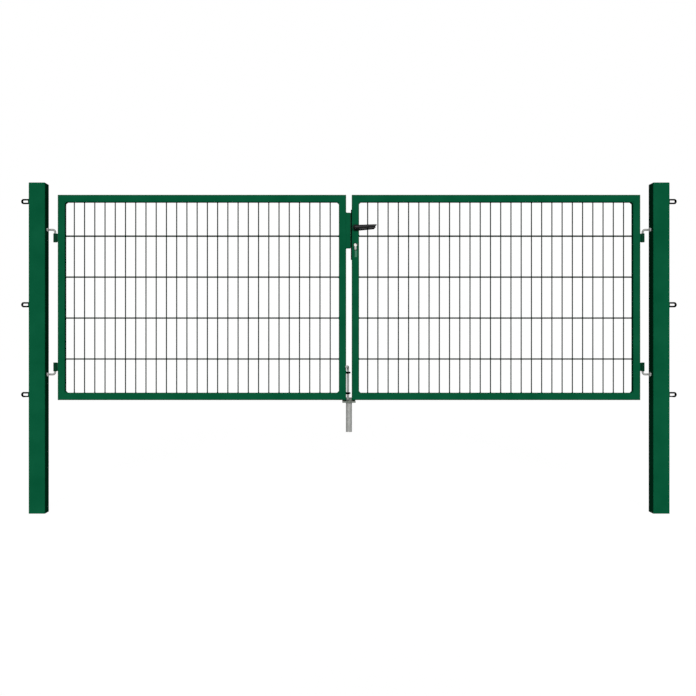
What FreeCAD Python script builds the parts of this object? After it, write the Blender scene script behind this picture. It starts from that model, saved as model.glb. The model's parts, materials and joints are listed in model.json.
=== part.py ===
import FreeCAD, Part
import math
import os
import re

import Sketcher

# Double fence gate: two mesh leaves of square tube between two square posts.
# Row frame in mm: X to the right, Y away from the viewer, Z up, origin at the foot of the left post.

SIZES = {
    "post_width": "80",
    "post_wall": "2",
    "post_corner": "4",
    "post_above_leaf": "50",
    "cap_height": "7",
    "cap_chamfer": "2",
    "cap_plug_depth": "14",
    "plug_play": "0.2",
    "leaf_width": "1405",
    "leaf_height": "1000",
    "leaf_lift": "550",
    "meeting_gap": "28",
    "frame_tube": "35",
    "frame_wall": "2",
    "frame_corner": "3",
    "mitre_margin": "2",
    "hinge_reach": "40",
    "stile_offset": "16",
    "upright_radius": "2.5",
    "upright_pitch": "50",
    "level_radius": "3",
    "level_pitch": "200",
    "weld_overlap": "0.5",
    "sleeve_radius": "9",
    "sleeve_bore_radius": "5.4",
    "sleeve_length": "43",
    "sleeve_lug_width": "10",
    "upper_hinge_drop": "187",
    "lower_sleeve_rise": "140",
    "hook_radius": "5",
    "hook_bend": "12",
    "hook_embed": "12",
    "upper_hook_gap": "6",
    "lower_hook_gap": "3.3",
    "pin_reach": "38",
    "nut_across_flats": "17",
    "nut_thickness": "8",
    "loop_bar_radius": "4",
    "loop_leg_spacing": "18",
    "loop_reach": "46.5",
    "low_loop_rise": "26",
    "middle_loop_rise": "465",
    "high_loop_drop": "81",
    "lever_drop": "160",
    "rosette_radius": "18.5",
    "rosette_thickness": "8",
    "rosette_chamfer": "2",
    "neck_radius": "8",
    "neck_clearance": "0.4",
    "neck_flare_radius": "9",
    "neck_flare_length": "12",
    "lever_standoff": "30",
    "lever_thickness": "12",
    "lever_reach": "100",
    "lever_root_radius": "9.5",
    "lever_tip_height": "13.5",
    "lever_tip_rise": "6",
    "lever_end_slope": "6",
    "lever_edge_bevel": "3",
    "spindle_width": "8",
    "spindle_end_play": "1",
    "spindle_hole_radius": "8",
    "lock_centres": "85",
    "cylinder_radius": "8.5",
    "cylinder_web_radius": "5",
    "cylinder_height": "33",
    "cylinder_proud": "3",
    "cylinder_play": "0.3",
    "forend_thickness": "3",
    "forend_width": "24",
    "forend_height": "244",
    "forend_below_lever": "155.5",
    "forend_corner": "3",
    "forend_face_width": "15",
    "forend_face_depth": "1",
    "keep_depth": "20",
    "keep_height": "172",
    "keep_below_lever": "99",
    "keep_corner": "2",
    "keep_pocket_depth": "13",
    "keep_pocket_width": "17.5",
    "latch_height": "34",
    "latch_above_lever": "15",
    "dead_bolt_height": "56",
    "dead_bolt_below_lever": "69",
    "bolt_radius": "6",
    "bolt_offset": "9",
    "bolt_bend": "10",
    "bolt_drop": "16",
    "bolt_rest_gap": "3",
    "bolt_handle_reach": "62",
    "bolt_handle_turn": "8",
    "guide_reach": "22",
    "guide_width": "28",
    "guide_thickness": "9",
    "guide_bore_radius": "6.5",
    "upper_guide_rise": "133.4",
    "lower_guide_rise": "33.2",
    "plate_gap": "5",
    "plate_width": "64",
    "plate_thickness": "8",
    "plate_front": "26",
    "stop_gap": "5",
    "stop_rise": "11",
    "socket_radius": "14.8",
    "socket_bore_radius": "12.2",
    "socket_length": "143",
}
DERIVED = {
    "post_tube_height": "leaf_lift + leaf_height + post_above_leaf",
    "hinge_axis_left": "post_width / 2 + hinge_reach",
    "left_leaf_start": "hinge_axis_left + stile_offset",
    "left_leaf_end": "left_leaf_start + leaf_width",
    "right_leaf_start": "left_leaf_end + meeting_gap",
    "right_leaf_end": "right_leaf_start + leaf_width",
    "hinge_axis_right": "right_leaf_end + stile_offset",
    "post_spacing": "hinge_axis_right + hinge_axis_left",
    "gate_middle": "post_spacing / 2",
    "level_offset": "upright_radius + level_radius - weld_overlap",
    "upper_sleeve_rise": "leaf_height - upper_hinge_drop - sleeve_length",
    "upper_hook_rise": "upper_sleeve_rise + sleeve_length + upper_hook_gap + hook_bend",
    "lower_hook_rise": "lower_sleeve_rise - lower_hook_gap - hook_bend",
    "upper_pin_length": "upper_hook_gap + pin_reach",
    "lower_pin_length": "lower_hook_gap + pin_reach",
    "low_loop": "leaf_lift + low_loop_rise",
    "middle_loop": "leaf_lift + middle_loop_rise",
    "high_loop": "post_tube_height - high_loop_drop",
    "lever_height": "leaf_lift + leaf_height - lever_drop",
    "lock_middle": "right_leaf_start + frame_tube / 2",
    "forend_bottom": "lever_height - forend_below_lever",
    "keep_bottom": "lever_height - keep_below_lever",
    "latch_bottom": "lever_height + latch_above_lever",
    "dead_bolt_bottom": "lever_height - dead_bolt_below_lever",
    "bolt_foot": "leaf_lift",
    "bolt_top": "leaf_lift + upper_guide_rise + guide_thickness / 2 + bolt_rest_gap + bolt_radius + bolt_drop",
    "ground_plate_bottom": "leaf_lift - plate_gap - plate_thickness",
}
MESH_BAR_SIDES = 6
BENT_BAR_SIDES = 8

X_AXIS = FreeCAD.Vector(1, 0, 0)
Y_AXIS = FreeCAD.Vector(0, 1, 0)
Z_AXIS = FreeCAD.Vector(0, 0, 1)
UPRIGHT = FreeCAD.Rotation()

document = FreeCAD.newDocument("DoubleFenceGate")
exports = []


def fill_sheet():
    sheet = document.addObject("Spreadsheet::Sheet", "Sizes")
    for row, (name, value) in enumerate(SIZES.items(), start=1):
        sheet.set("A" + str(row), name)
        sheet.setAlias("B" + str(row), name)
    for row, value in enumerate(SIZES.values(), start=1):
        sheet.set("B" + str(row), value)
    document.recompute()
    return sheet


def linked(text):
    """Spells out the derived sizes of a formula and puts the sheet's name before the others."""
    def spell(word):
        name = word.group(0)
        if name in DERIVED:
            return "(" + linked(DERIVED[name]) + ")"
        return "Sizes." + name if name in SIZES else name

    return re.sub(r"[a-z][a-z_]+", spell, text)


def worth(text):
    """The number that a formula gives."""
    return float(document.Sizes.evalExpression(linked(text)))


def drive(item, **formulas):
    for name, text in formulas.items():
        item.setExpression(name, linked(text))
    return item


def place(item, x, y, z, rotation=UPRIGHT):
    item.Placement = FreeCAD.Placement(FreeCAD.Vector(), rotation)
    for letter, text in zip("xyz", (x, y, z)):
        item.setExpression("Placement.Base." + letter, linked(text))
    return item


def export(item, label):
    item.Label = label
    exports.append(item)
    return item


# Simple solids

def box(label, length, width, height, x, y, z, rotation=UPRIGHT):
    item = document.addObject("Part::Box", label)
    drive(item, Length=length, Width=width, Height=height)
    return place(item, x, y, z, rotation)


def rod(label, radius, length, x, y, z, rotation=UPRIGHT):
    item = document.addObject("Part::Cylinder", label)
    drive(item, Radius=radius, Height=length)
    return place(item, x, y, z, rotation)


def prism(label, sides, radius, length, x, y, z, rotation=UPRIGHT):
    item = document.addObject("Part::Prism", label)
    item.Polygon = sides
    drive(item, Circumradius=radius, Height=length)
    return place(item, x, y, z, rotation)


def bar(label, radius, length, x, y, z, rotation=UPRIGHT):
    """Straight stretch of a bar that bends elsewhere."""
    return prism(label, BENT_BAR_SIDES, radius, length, x, y, z, rotation)


def bend(label, bend_radius, radius, sweep, x, y, z, rotation):
    """Bar turned round its own Z axis, from its X axis on."""
    section = document.addObject("Part::RegularPolygon", label + "_section")
    section.Polygon = BENT_BAR_SIDES
    drive(section, Circumradius=radius)
    place(section, bend_radius, "0", "0", FreeCAD.Rotation(X_AXIS, 90))
    item = document.addObject("Part::Revolution", label)
    item.Source = section
    item.Axis = Z_AXIS
    item.Angle = sweep
    item.Solid = True
    return place(item, x, y, z, rotation)


def joined(label, items):
    item = document.addObject("Part::MultiFuse", label)
    item.Shapes = items
    item.Refine = False
    return item


def cut(label, base, tool):
    item = document.addObject("Part::Cut", label)
    item.Base = base
    item.Tool = tool
    item.Refine = False
    return item


# Sketches

def add_sketch(body, label, role):
    sketch = body.newObject("Sketcher::SketchObject", label)
    plane = next(f for f in body.Origin.OriginFeatures if f.Role == role)
    sketch.AttachmentSupport = (plane, [""])
    sketch.MapMode = "FlatFace"
    return sketch


def sketch_size(sketch, kind, places, name, text):
    """A named measure in a sketch that follows a formula."""
    added = sketch.addConstraint(Sketcher.Constraint(kind, *places, worth(text)))
    sketch.renameConstraint(added, name)
    sketch.setExpression("Constraints." + name, linked(text))


def line(sketch, start, end):
    sketch.addGeometry(
        Part.LineSegment(FreeCAD.Vector(*start, 0), FreeCAD.Vector(*end, 0)), False
    )


def polygon(sketch, prefix, corners):
    """Closed outline; each corner is a pair of formulas measured from the sketch's origin."""
    rough = [(worth(x), worth(y)) for x, y in corners]
    first = sketch.GeometryCount
    count = len(corners)
    for number in range(count):
        line(sketch, rough[number], rough[(number + 1) % count])
    for number in range(count):
        after = first + (number + 1) % count
        sketch.addConstraint(Sketcher.Constraint("Coincident", first + number, 2, after, 1))
    for number, (x, y) in enumerate(corners):
        corner = (-1, 1, first + number, 1)
        sketch_size(sketch, "DistanceX", corner, prefix + "_x" + str(number), x)
        sketch_size(sketch, "DistanceY", corner, prefix + "_y" + str(number), y)


def rounded_square(sketch, prefix, width, radius):
    """Square centred on the sketch's origin with rounded corners, both driven by formulas."""
    half = worth(width) / 2
    round_size = worth(radius)
    flat = half - round_size
    first = sketch.GeometryCount
    for number, (sx, sy) in enumerate([(1, 1), (-1, 1), (-1, -1), (1, -1)]):
        circle = Part.Circle(FreeCAD.Vector(sx * flat, sy * flat, 0), Z_AXIS, round_size)
        start = number * math.pi / 2
        sketch.addGeometry(Part.ArcOfCircle(circle, start, start + math.pi / 2), False)
    line(sketch, (flat, half), (-flat, half))
    line(sketch, (-half, flat), (-half, -flat))
    line(sketch, (-flat, -half), (flat, -half))
    line(sketch, (half, -flat), (half, flat))
    top, left, bottom, right = range(first + 4, first + 8)
    for number, side in enumerate((top, left, bottom, right)):
        corner = first + number
        after = first + (number + 1) % 4
        sketch.addConstraint(Sketcher.Constraint("Tangent", corner, 2, side, 1))
        sketch.addConstraint(Sketcher.Constraint("Tangent", side, 2, after, 1))
    sketch.addConstraint(Sketcher.Constraint("Horizontal", top))
    sketch.addConstraint(Sketcher.Constraint("Vertical", left))
    for number in range(1, 4):
        sketch.addConstraint(Sketcher.Constraint("Equal", first, first + number))
    sketch_size(sketch, "Radius", (first,), prefix + "_radius", radius)
    reach = "(" + width + ") / 2"
    sketch_size(sketch, "DistanceY", (-1, 1, top, 1), prefix + "_top", reach)
    sketch_size(sketch, "DistanceX", (-1, 1, right, 1), prefix + "_right", reach)
    sketch_size(sketch, "DistanceY", (bottom, 1, -1, 1), prefix + "_bottom", reach)
    sketch_size(sketch, "DistanceX", (left, 1, -1, 1), prefix + "_left", reach)


def keyhole(sketch, radius, web_radius, height):
    """Round top with a narrower leg below, the outline of a profile cylinder."""
    big = worth(radius)
    small = worth(web_radius)
    foot = big - worth(height) + small
    join = -math.sqrt(big * big - small * small)
    angle = math.atan2(join, small)
    top = Part.Circle(FreeCAD.Vector(), Z_AXIS, big)
    bottom = Part.Circle(FreeCAD.Vector(0, foot, 0), Z_AXIS, small)
    sketch.addGeometry(Part.ArcOfCircle(top, angle, math.pi - angle), False)
    line(sketch, (-small, join), (-small, foot))
    sketch.addGeometry(Part.ArcOfCircle(bottom, math.pi, 2 * math.pi), False)
    line(sketch, (small, foot), (small, join))
    sketch.addConstraint(Sketcher.Constraint("Coincident", 0, 3, -1, 1))
    sketch.addConstraint(Sketcher.Constraint("Coincident", 0, 2, 1, 1))
    sketch.addConstraint(Sketcher.Constraint("Tangent", 1, 2, 2, 1))
    sketch.addConstraint(Sketcher.Constraint("Tangent", 2, 2, 3, 1))
    sketch.addConstraint(Sketcher.Constraint("Coincident", 3, 2, 0, 1))
    sketch.addConstraint(Sketcher.Constraint("Vertical", 1))
    sketch.addConstraint(Sketcher.Constraint("PointOnObject", 2, 3, -2))
    sketch_size(sketch, "Radius", (0,), "round", radius)
    sketch_size(sketch, "Radius", (2,), "web", web_radius)
    drop = "(" + height + ") - (" + radius + ") - (" + web_radius + ")"
    sketch_size(sketch, "DistanceY", (2, 3, -1, 1), "foot", drop)


def pad(body, sketch, label, length, symmetric=False):
    feature = body.newObject("PartDesign::Pad", label)
    feature.Profile = sketch
    feature.SideType = "Symmetric" if symmetric else "One side"
    drive(feature, Length=length)
    return feature


def pocket(body, sketch, label, length, symmetric=True, backwards=False):
    feature = body.newObject("PartDesign::Pocket", label)
    feature.Profile = sketch
    feature.SideType = "Symmetric" if symmetric else "One side"
    feature.Reversed = backwards
    drive(feature, Length=length)
    return feature


def face_towards(feature, direction):
    """Name of the flat face that looks and lies furthest along a direction."""
    document.recompute()
    best = max(
        range(len(feature.Shape.Faces)),
        key=lambda number: (
            round(feature.Shape.Faces[number].normalAt(0, 0).dot(direction), 3),
            feature.Shape.Faces[number].CenterOfMass.dot(direction),
        ),
    )
    return "Face" + str(best + 1)


def edges_where(feature, test):
    """Names of the edges whose two ends and middle pass a test."""
    document.recompute()
    names = []
    for number, edge in enumerate(feature.Shape.Edges, start=1):
        points = [vertex.Point for vertex in edge.Vertexes] + [edge.CenterOfMass]
        if all(test(point) for point in points):
            names.append("Edge" + str(number))
    return names


def rounded(body, feature, label, edges, radius):
    fillet = body.newObject("PartDesign::Fillet", label)
    fillet.Base = (feature, edges)
    fillet.UseAllEdges = not edges
    return drive(fillet, Radius=radius)


# Posts

def post(label, x):
    """Square tube with an open foot."""
    body = document.addObject("PartDesign::Body", label)
    outline = add_sketch(body, label + "_outline", "XY_Plane")
    rounded_square(outline, "outside", "post_width", "post_corner")
    rounded_square(outline, "inside", "post_width - 2 * post_wall", "post_corner - post_wall")
    pad(body, outline, label + "_tube", "post_tube_height")
    return place(body, x, "0", "0")


def drilled_post(label, x, inward):
    """Post with a hole for each hinge hook in the wall towards the gate."""
    body = post(label + "_plain", x)
    start = x if inward > 0 else x + " - post_width"
    holes = [
        rod(
            label + "_" + level + "_hole",
            "hook_radius",
            "post_width",
            start,
            "0",
            "leaf_lift + " + level + "_hook_rise",
            FreeCAD.Rotation(Y_AXIS, 90),
        )
        for level in ("upper", "lower")
    ]
    return export(cut(label, body, joined(label + "_holes", holes)), label)


def post_cap(label, x):
    """Flat cap with a chamfered top edge and a plug that sits in the tube."""
    plate = document.addObject("PartDesign::Body", label + "_plate")
    outline = add_sketch(plate, label + "_outline", "XY_Plane")
    rounded_square(outline, "edge", "post_width", "post_corner")
    top = pad(plate, outline, label + "_top", "cap_height")
    upper_face = face_towards(top, Z_AXIS)
    bevel = plate.newObject("PartDesign::Chamfer", label + "_bevel")
    bevel.Base = (top, [upper_face])
    drive(bevel, Size="cap_chamfer")
    place(plate, x, "0", "post_tube_height")
    plug = document.addObject("PartDesign::Body", label + "_plug")
    plug_outline = add_sketch(plug, label + "_plug_outline", "XY_Plane")
    rounded_square(
        plug_outline,
        "plug",
        "post_width - 2 * post_wall - 2 * plug_play",
        "post_corner - post_wall",
    )
    pad(plug, plug_outline, label + "_plug_pad", "cap_plug_depth")
    place(plug, x, "0", "post_tube_height - cap_plug_depth")
    return export(joined(label, [plate, plug]), label)


def fence_loop(label, x, outward, height):
    """U of round bar that stands out from the side of a post."""
    turn = FreeCAD.Rotation(Y_AXIS, 90 * outward)
    straight = "(loop_reach - loop_leg_spacing / 2 - loop_bar_radius)"
    legs = [
        bar(
            label + "_" + ending,
            "loop_bar_radius",
            straight,
            x,
            "0",
            height + " " + sign + " loop_leg_spacing / 2",
            turn,
        )
        for ending, sign in (("top", "+"), ("bottom", "-"))
    ]
    ring = bend(
        label + "_bend",
        "loop_leg_spacing / 2",
        "loop_bar_radius",
        180,
        x + (" + " if outward > 0 else " - ") + straight,
        "0",
        height,
        turn * FreeCAD.Rotation(X_AXIS, 90),
    )
    return joined(label, legs + [ring])


def fence_loops(label, x, outward):
    loops = [
        fence_loop(label + "_" + level, x, outward, level + "_loop")
        for level in ("low", "middle", "high")
    ]
    return export(joined(label, loops), label)


# Hinges

def hinge_hook(label, post_face, axis_x, inward, level):
    """Round bar out of the post, bent to a pin: down at the upper hinge, up at the lower one."""
    pin_down = level == "upper"
    height = "leaf_lift + " + level + "_hook_rise"
    back = " - " if inward > 0 else " + "
    arm = bar(
        label + "_arm",
        "hook_radius",
        "hook_embed + hinge_reach - hook_bend",
        post_face + back + "hook_embed",
        "0",
        height,
        FreeCAD.Rotation(Y_AXIS, 90 * inward),
    )
    ring_turns = {(1, True): 0, (-1, True): -90, (-1, False): 180, (1, False): 90}
    elbow = bend(
        label + "_elbow",
        "hook_bend",
        "hook_radius",
        90,
        axis_x + back + "hook_bend",
        "0",
        height + (" - " if pin_down else " + ") + "hook_bend",
        FreeCAD.Rotation(Y_AXIS, ring_turns[(inward, pin_down)]) * FreeCAD.Rotation(X_AXIS, 90),
    )
    pin_length = level + "_pin_length"
    pin_foot = height + (" - hook_bend - " + pin_length if pin_down else " + hook_bend")
    pin = bar(label + "_pin", "hook_radius", pin_length, axis_x, "0", pin_foot)
    return joined(label, [arm, elbow, pin])


def hinge_hooks(label, post_face, axis_x, inward):
    hooks = [
        hinge_hook(label + "_" + level, post_face, axis_x, inward, level)
        for level in ("upper", "lower")
    ]
    return export(joined(label, hooks), label)


def hook_nut(label, post_face, inward, level):
    """Hexagon nut on the hook, against the post."""
    start = post_face if inward > 0 else post_face + " - nut_thickness"
    height = "leaf_lift + " + level + "_hook_rise"
    sideways = FreeCAD.Rotation(Y_AXIS, 90)
    corner = "nut_across_flats / 2 / cos(30)"
    blank = prism(label + "_blank", 6, corner, "nut_thickness", start, "0", height, sideways)
    bore = rod(label + "_bore", "hook_radius", "nut_thickness", start, "0", height, sideways)
    return export(cut(label, blank, bore), label)


def hinge_sleeve(label, axis_x, inward, level):
    """Sleeve that turns on a hook's pin, with a lug to the stile."""
    base = "leaf_lift + " + level + "_sleeve_rise"
    tube = rod(label + "_tube", "sleeve_radius", "sleeve_length", axis_x, "0", base)
    lug = box(
        label + "_lug",
        "stile_offset",
        "sleeve_lug_width",
        "sleeve_length",
        axis_x if inward > 0 else axis_x + " - stile_offset",
        "-sleeve_lug_width / 2",
        base,
    )
    bore = rod(label + "_bore", "sleeve_bore_radius", "sleeve_length", axis_x, "0", base)
    return export(cut(label, joined(label + "_outer", [tube, lug]), bore), label)


# Leaf frames

def frame_tube(label, length, x, z, rotation):
    """Square tube cut at 45 degrees at both ends; its short side faces local +X."""
    body = document.addObject("PartDesign::Body", label)
    outline = add_sketch(body, label + "_outline", "XY_Plane")
    rounded_square(outline, "outside", "frame_tube", "frame_corner")
    rounded_square(outline, "inside", "frame_tube - 2 * frame_wall", "frame_corner - frame_wall")
    pad(body, outline, label + "_pad", length)
    ends = add_sketch(body, label + "_ends", "XZ_Plane")
    edge = "(frame_tube / 2 + mitre_margin)"
    deep = "(frame_tube + mitre_margin)"
    past_head = length + " + mitre_margin"
    polygon(ends, "foot", [("-" + edge, "-mitre_margin"), (edge, "-mitre_margin"), (edge, deep)])
    polygon(ends, "head", [("-" + edge, past_head), (edge, length + " - " + deep), (edge, past_head)])
    pocket(body, ends, label + "_mitres", "2 * frame_tube")
    return place(body, x, "0", z, rotation)


def leaf_frame(side, start, end, inward):
    """Four mitred tubes; inward is +1 where the hinge stile is at the start."""
    near, far = ("hinge_stile", "meeting_stile") if inward > 0 else ("meeting_stile", "hinge_stile")
    rightwards = FreeCAD.Rotation(X_AXIS, Y_AXIS, Z_AXIS, "ZXY")
    leftwards = FreeCAD.Rotation(Z_AXIS, 180)
    lower = FreeCAD.Rotation(Z_AXIS, -Y_AXIS, X_AXIS, "ZXY")
    upper = FreeCAD.Rotation(-Z_AXIS, Y_AXIS, X_AXIS, "ZXY")
    stiles = {
        near: frame_tube(
            side + "_" + near, "leaf_height", start + " + frame_tube / 2", "leaf_lift", rightwards
        ),
        far: frame_tube(
            side + "_" + far, "leaf_height", end + " - frame_tube / 2", "leaf_lift", leftwards
        ),
    }
    bottom = frame_tube(
        side + "_bottom_rail", "leaf_width", start, "leaf_lift + frame_tube / 2", lower
    )
    top = frame_tube(
        side + "_top_rail", "leaf_width", start, "leaf_lift + leaf_height - frame_tube / 2", upper
    )
    export(bottom, side + "_bottom_rail")
    export(top, side + "_top_rail")
    export(stiles["hinge_stile"], side + "_hinge_stile")
    return stiles["meeting_stile"]


def bar_count(length, pitch):
    """As many bars as fit with at least half a pitch left beside the outer ones."""
    return int((worth(length) - worth(pitch)) / worth(pitch)) + 1


def mesh_panel(label, start):
    """Upright bars between pairs of level bars, welded where they cross."""
    inner_height = "(leaf_height - 2 * frame_tube)"
    inner_width = "(leaf_width - 2 * frame_tube)"
    uprights = bar_count(inner_width, "upright_pitch")
    levels = bar_count(inner_height, "level_pitch")
    ridge_forward = FreeCAD.Rotation(Z_AXIS, 90)
    bars = []
    for number in range(uprights):
        shift = str(number - (uprights - 1) / 2)
        bars.append(
            prism(
                label + "_upright_" + str(number),
                MESH_BAR_SIDES,
                "upright_radius",
                inner_height,
                start + " + leaf_width / 2 + (" + shift + ") * upright_pitch",
                "0",
                "leaf_lift + frame_tube",
                ridge_forward,
            )
        )
    for number in range(levels):
        shift = str(number - (levels - 1) / 2)
        for ending, sign in (("front", "-"), ("back", "")):
            bars.append(
                prism(
                    label + "_level_" + str(number) + "_" + ending,
                    MESH_BAR_SIDES,
                    "level_radius",
                    inner_width,
                    start + " + frame_tube",
                    sign + "level_offset",
                    "leaf_lift + leaf_height / 2 + (" + shift + ") * level_pitch",
                    FreeCAD.Rotation(Y_AXIS, 90) * ridge_forward,
                )
            )
    return export(joined(label, bars), label)


# Lock and keep

def edge_plate(label, thickness, width, height, x, z):
    """Rectangle across Y and Z that starts at x and is thick along X."""
    body = document.addObject("PartDesign::Body", label)
    outline = add_sketch(body, label + "_outline", "YZ_Plane")
    half = width + " / 2"
    low_left, low_right = ("-" + half, "0"), (half, "0")
    high_right, high_left = (half, height), ("-" + half, height)
    polygon(outline, "edge", [low_left, low_right, high_right, high_left])
    plate = pad(body, outline, label + "_pad", thickness)
    place(body, x, "0", z)
    return body, plate


def lock_pockets(body, label, width, depth, plane_x, base, backwards):
    """Pockets in line with the lock's latch and dead bolt, cut along X."""
    outline = add_sketch(body, label + "_pocket_outline", "YZ_Plane")
    outline.setExpression("AttachmentOffset.Base.z", linked(plane_x))
    half = width + " / 2"
    for ending in ("latch", "dead_bolt"):
        low = ending + "_bottom - " + base
        high = low + " + " + ending + "_height"
        polygon(outline, ending, [("-" + half, low), (half, low), (half, high), ("-" + half, high)])
    return pocket(body, outline, label + "_pockets", depth, symmetric=False, backwards=backwards)


def keep_box(label):
    """Strike box on the left meeting stile with two pockets towards the lock."""
    body, block = edge_plate(
        label, "keep_depth", "frame_tube", "keep_height", "left_leaf_end", "keep_bottom"
    )
    deep = worth("keep_depth")
    rim = edges_where(block, lambda point: abs(point.x - deep) < 0.001)
    rounded(body, block, label + "_round", rim, "keep_corner")
    lock_pockets(
        body, label, "keep_pocket_width", "keep_pocket_depth", "keep_depth", "keep_bottom", False
    )
    return export(body, label)


def lock_forend(label):
    """Plate on the edge of the lock's stile, with the faces of the latch and dead bolt let in."""
    body, plate = edge_plate(
        label,
        "forend_thickness",
        "forend_width",
        "forend_height",
        "right_leaf_start - forend_thickness",
        "forend_bottom",
    )
    half = worth("forend_width / 2")
    tall = worth("forend_height")
    corners = edges_where(
        plate,
        lambda point: abs(abs(point.y) - half) < 0.001
        and min(abs(point.z), abs(point.z - tall)) < 0.001,
    )
    rounded(body, plate, label + "_round", corners, "forend_corner")
    lock_pockets(
        body, label, "forend_face_width", "forend_face_depth", "0", "forend_bottom", True
    )
    return export(body, label)


def profile_cylinder(label, extra, length):
    """Profile cylinder through the stile, or with extra the hole for it."""
    body = document.addObject("PartDesign::Body", label)
    outline = add_sketch(body, label + "_outline", "XZ_Plane")
    keyhole(
        outline,
        "cylinder_radius + " + extra,
        "cylinder_web_radius + " + extra,
        "cylinder_height + 2 * (" + extra + ")",
    )
    pad(body, outline, label + "_pad", length, symmetric=True)
    return place(body, "lock_middle", "0", "lever_height - lock_centres")


def lock_stile(plain):
    """The right meeting stile with the holes for the lever's spindle and the cylinder."""
    spindle_hole = rod(
        "spindle_hole",
        "spindle_hole_radius",
        "2 * frame_tube",
        "lock_middle",
        "-frame_tube",
        "lever_height",
        FreeCAD.Rotation(X_AXIS, -90),
    )
    cylinder_hole = profile_cylinder("cylinder_hole", "cylinder_play", "2 * frame_tube")
    tools = joined("lock_holes", [spindle_hole, cylinder_hole])
    return cut("right_meeting_stile_cut", plain, tools)


def tapered(label, start_radius, end_radius, length, y, rotation):
    item = document.addObject("Part::Cone", label)
    drive(item, Radius1=start_radius, Radius2=end_radius, Height=length)
    return place(item, "lock_middle", y, "lever_height", rotation)


def rosette(label, front):
    """Round plate under a lever, with a chamfered rim."""
    away = FreeCAD.Rotation(X_AXIS, 90 if front else -90)
    sign = "-" if front else ""
    flat = "(rosette_thickness - rosette_chamfer)"
    face = "frame_tube / 2"
    plate = rod(
        label + "_plate", "rosette_radius", flat, "lock_middle", sign + face, "lever_height", away
    )
    rim = tapered(
        label + "_rim",
        "rosette_radius",
        "rosette_radius - rosette_chamfer",
        "rosette_chamfer",
        sign + "(" + face + " + " + flat + ")",
        away,
    )
    bore = rod(
        label + "_bore",
        "neck_radius + neck_clearance",
        "rosette_thickness",
        "lock_middle",
        sign + face,
        "lever_height",
        away,
    )
    return export(cut(label, joined(label + "_outer", [plate, rim]), bore), label)


def lever_grip(label):
    """Rounded root that narrows to a tip with a slanted end, seen along Y."""
    body = document.addObject("PartDesign::Body", label)
    outline = add_sketch(body, label + "_outline", "XZ_Plane")
    root = worth("lever_root_radius")
    low_tip = (worth("lever_reach - lever_end_slope"), worth("lever_tip_rise - lever_tip_height / 2"))
    high_tip = (worth("lever_reach"), worth("lever_tip_rise + lever_tip_height / 2"))
    circle = Part.Circle(FreeCAD.Vector(), Z_AXIS, root)
    outline.addGeometry(Part.ArcOfCircle(circle, math.pi / 2, 3 * math.pi / 2), False)
    line(outline, (0, -root), low_tip)
    line(outline, low_tip, high_tip)
    line(outline, high_tip, (0, root))
    for number in range(4):
        after = (number + 1) % 4
        outline.addConstraint(Sketcher.Constraint("Coincident", number, 2, after, 1))
    outline.addConstraint(Sketcher.Constraint("Coincident", 0, 3, -1, 1))
    outline.addConstraint(Sketcher.Constraint("PointOnObject", 0, 1, -2))
    outline.addConstraint(Sketcher.Constraint("PointOnObject", 0, 2, -2))
    sketch_size(outline, "Radius", (0,), "root", "lever_root_radius")
    sketch_size(outline, "DistanceX", (-1, 1, 1, 2), "low_x", "lever_reach - lever_end_slope")
    sketch_size(outline, "DistanceY", (1, 2, -1, 1), "low_y", "lever_tip_height / 2 - lever_tip_rise")
    sketch_size(outline, "DistanceX", (-1, 1, 3, 1), "high_x", "lever_reach")
    sketch_size(outline, "DistanceY", (-1, 1, 3, 1), "high_y", "lever_tip_rise + lever_tip_height / 2")
    blank = pad(body, outline, label + "_pad", "lever_thickness")
    deep = -worth("lever_thickness")
    faces = (0, deep)
    rim = edges_where(
        blank, lambda point: any(abs(point.y - face) < 0.001 for face in faces)
    )
    bevel = body.newObject("PartDesign::Chamfer", label + "_bevel")
    bevel.Base = (blank, rim)
    drive(bevel, Size="lever_edge_bevel")
    return body


def lever(label, front):
    """Neck and grip on one side of the stile."""
    face = "(frame_tube / 2 + lever_standoff)"
    grip = lever_grip(label + "_grip")
    place(
        grip, "lock_middle", "-" + face if front else face + " + lever_thickness", "lever_height"
    )
    away = FreeCAD.Rotation(X_AXIS, 90 if front else -90)
    sign = "-" if front else ""
    neck = rod(
        label + "_neck",
        "neck_radius",
        "lever_standoff - spindle_end_play + lever_edge_bevel",
        "lock_middle",
        sign + "(frame_tube / 2 + spindle_end_play)",
        "lever_height",
        away,
    )
    flare = tapered(
        label + "_flare",
        "neck_radius",
        "neck_flare_radius",
        "neck_flare_length",
        sign + "(" + face + " + lever_edge_bevel - neck_flare_length)",
        away,
    )
    return export(joined(label, [grip, neck, flare]), label)


def spindle(label):
    length = "(frame_tube + 2 * spindle_end_play)"
    return export(
        box(
            label,
            "spindle_width",
            length,
            "spindle_width",
            "lock_middle - spindle_width / 2",
            "-" + length + " / 2",
            "lever_height - spindle_width / 2",
        ),
        label,
    )


# Drop bolt

def bolt_guide(label, rise):
    x = "left_leaf_end"
    z = "leaf_lift + " + rise + " - guide_thickness / 2"
    plate = box(
        label + "_plate",
        "guide_reach",
        "guide_width",
        "guide_thickness",
        x,
        "-guide_width / 2",
        z,
    )
    bore = rod(
        label + "_bore", "guide_bore_radius", "guide_thickness", x + " + bolt_offset", "0", z
    )
    return export(cut(label, plate, bore), label)


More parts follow.
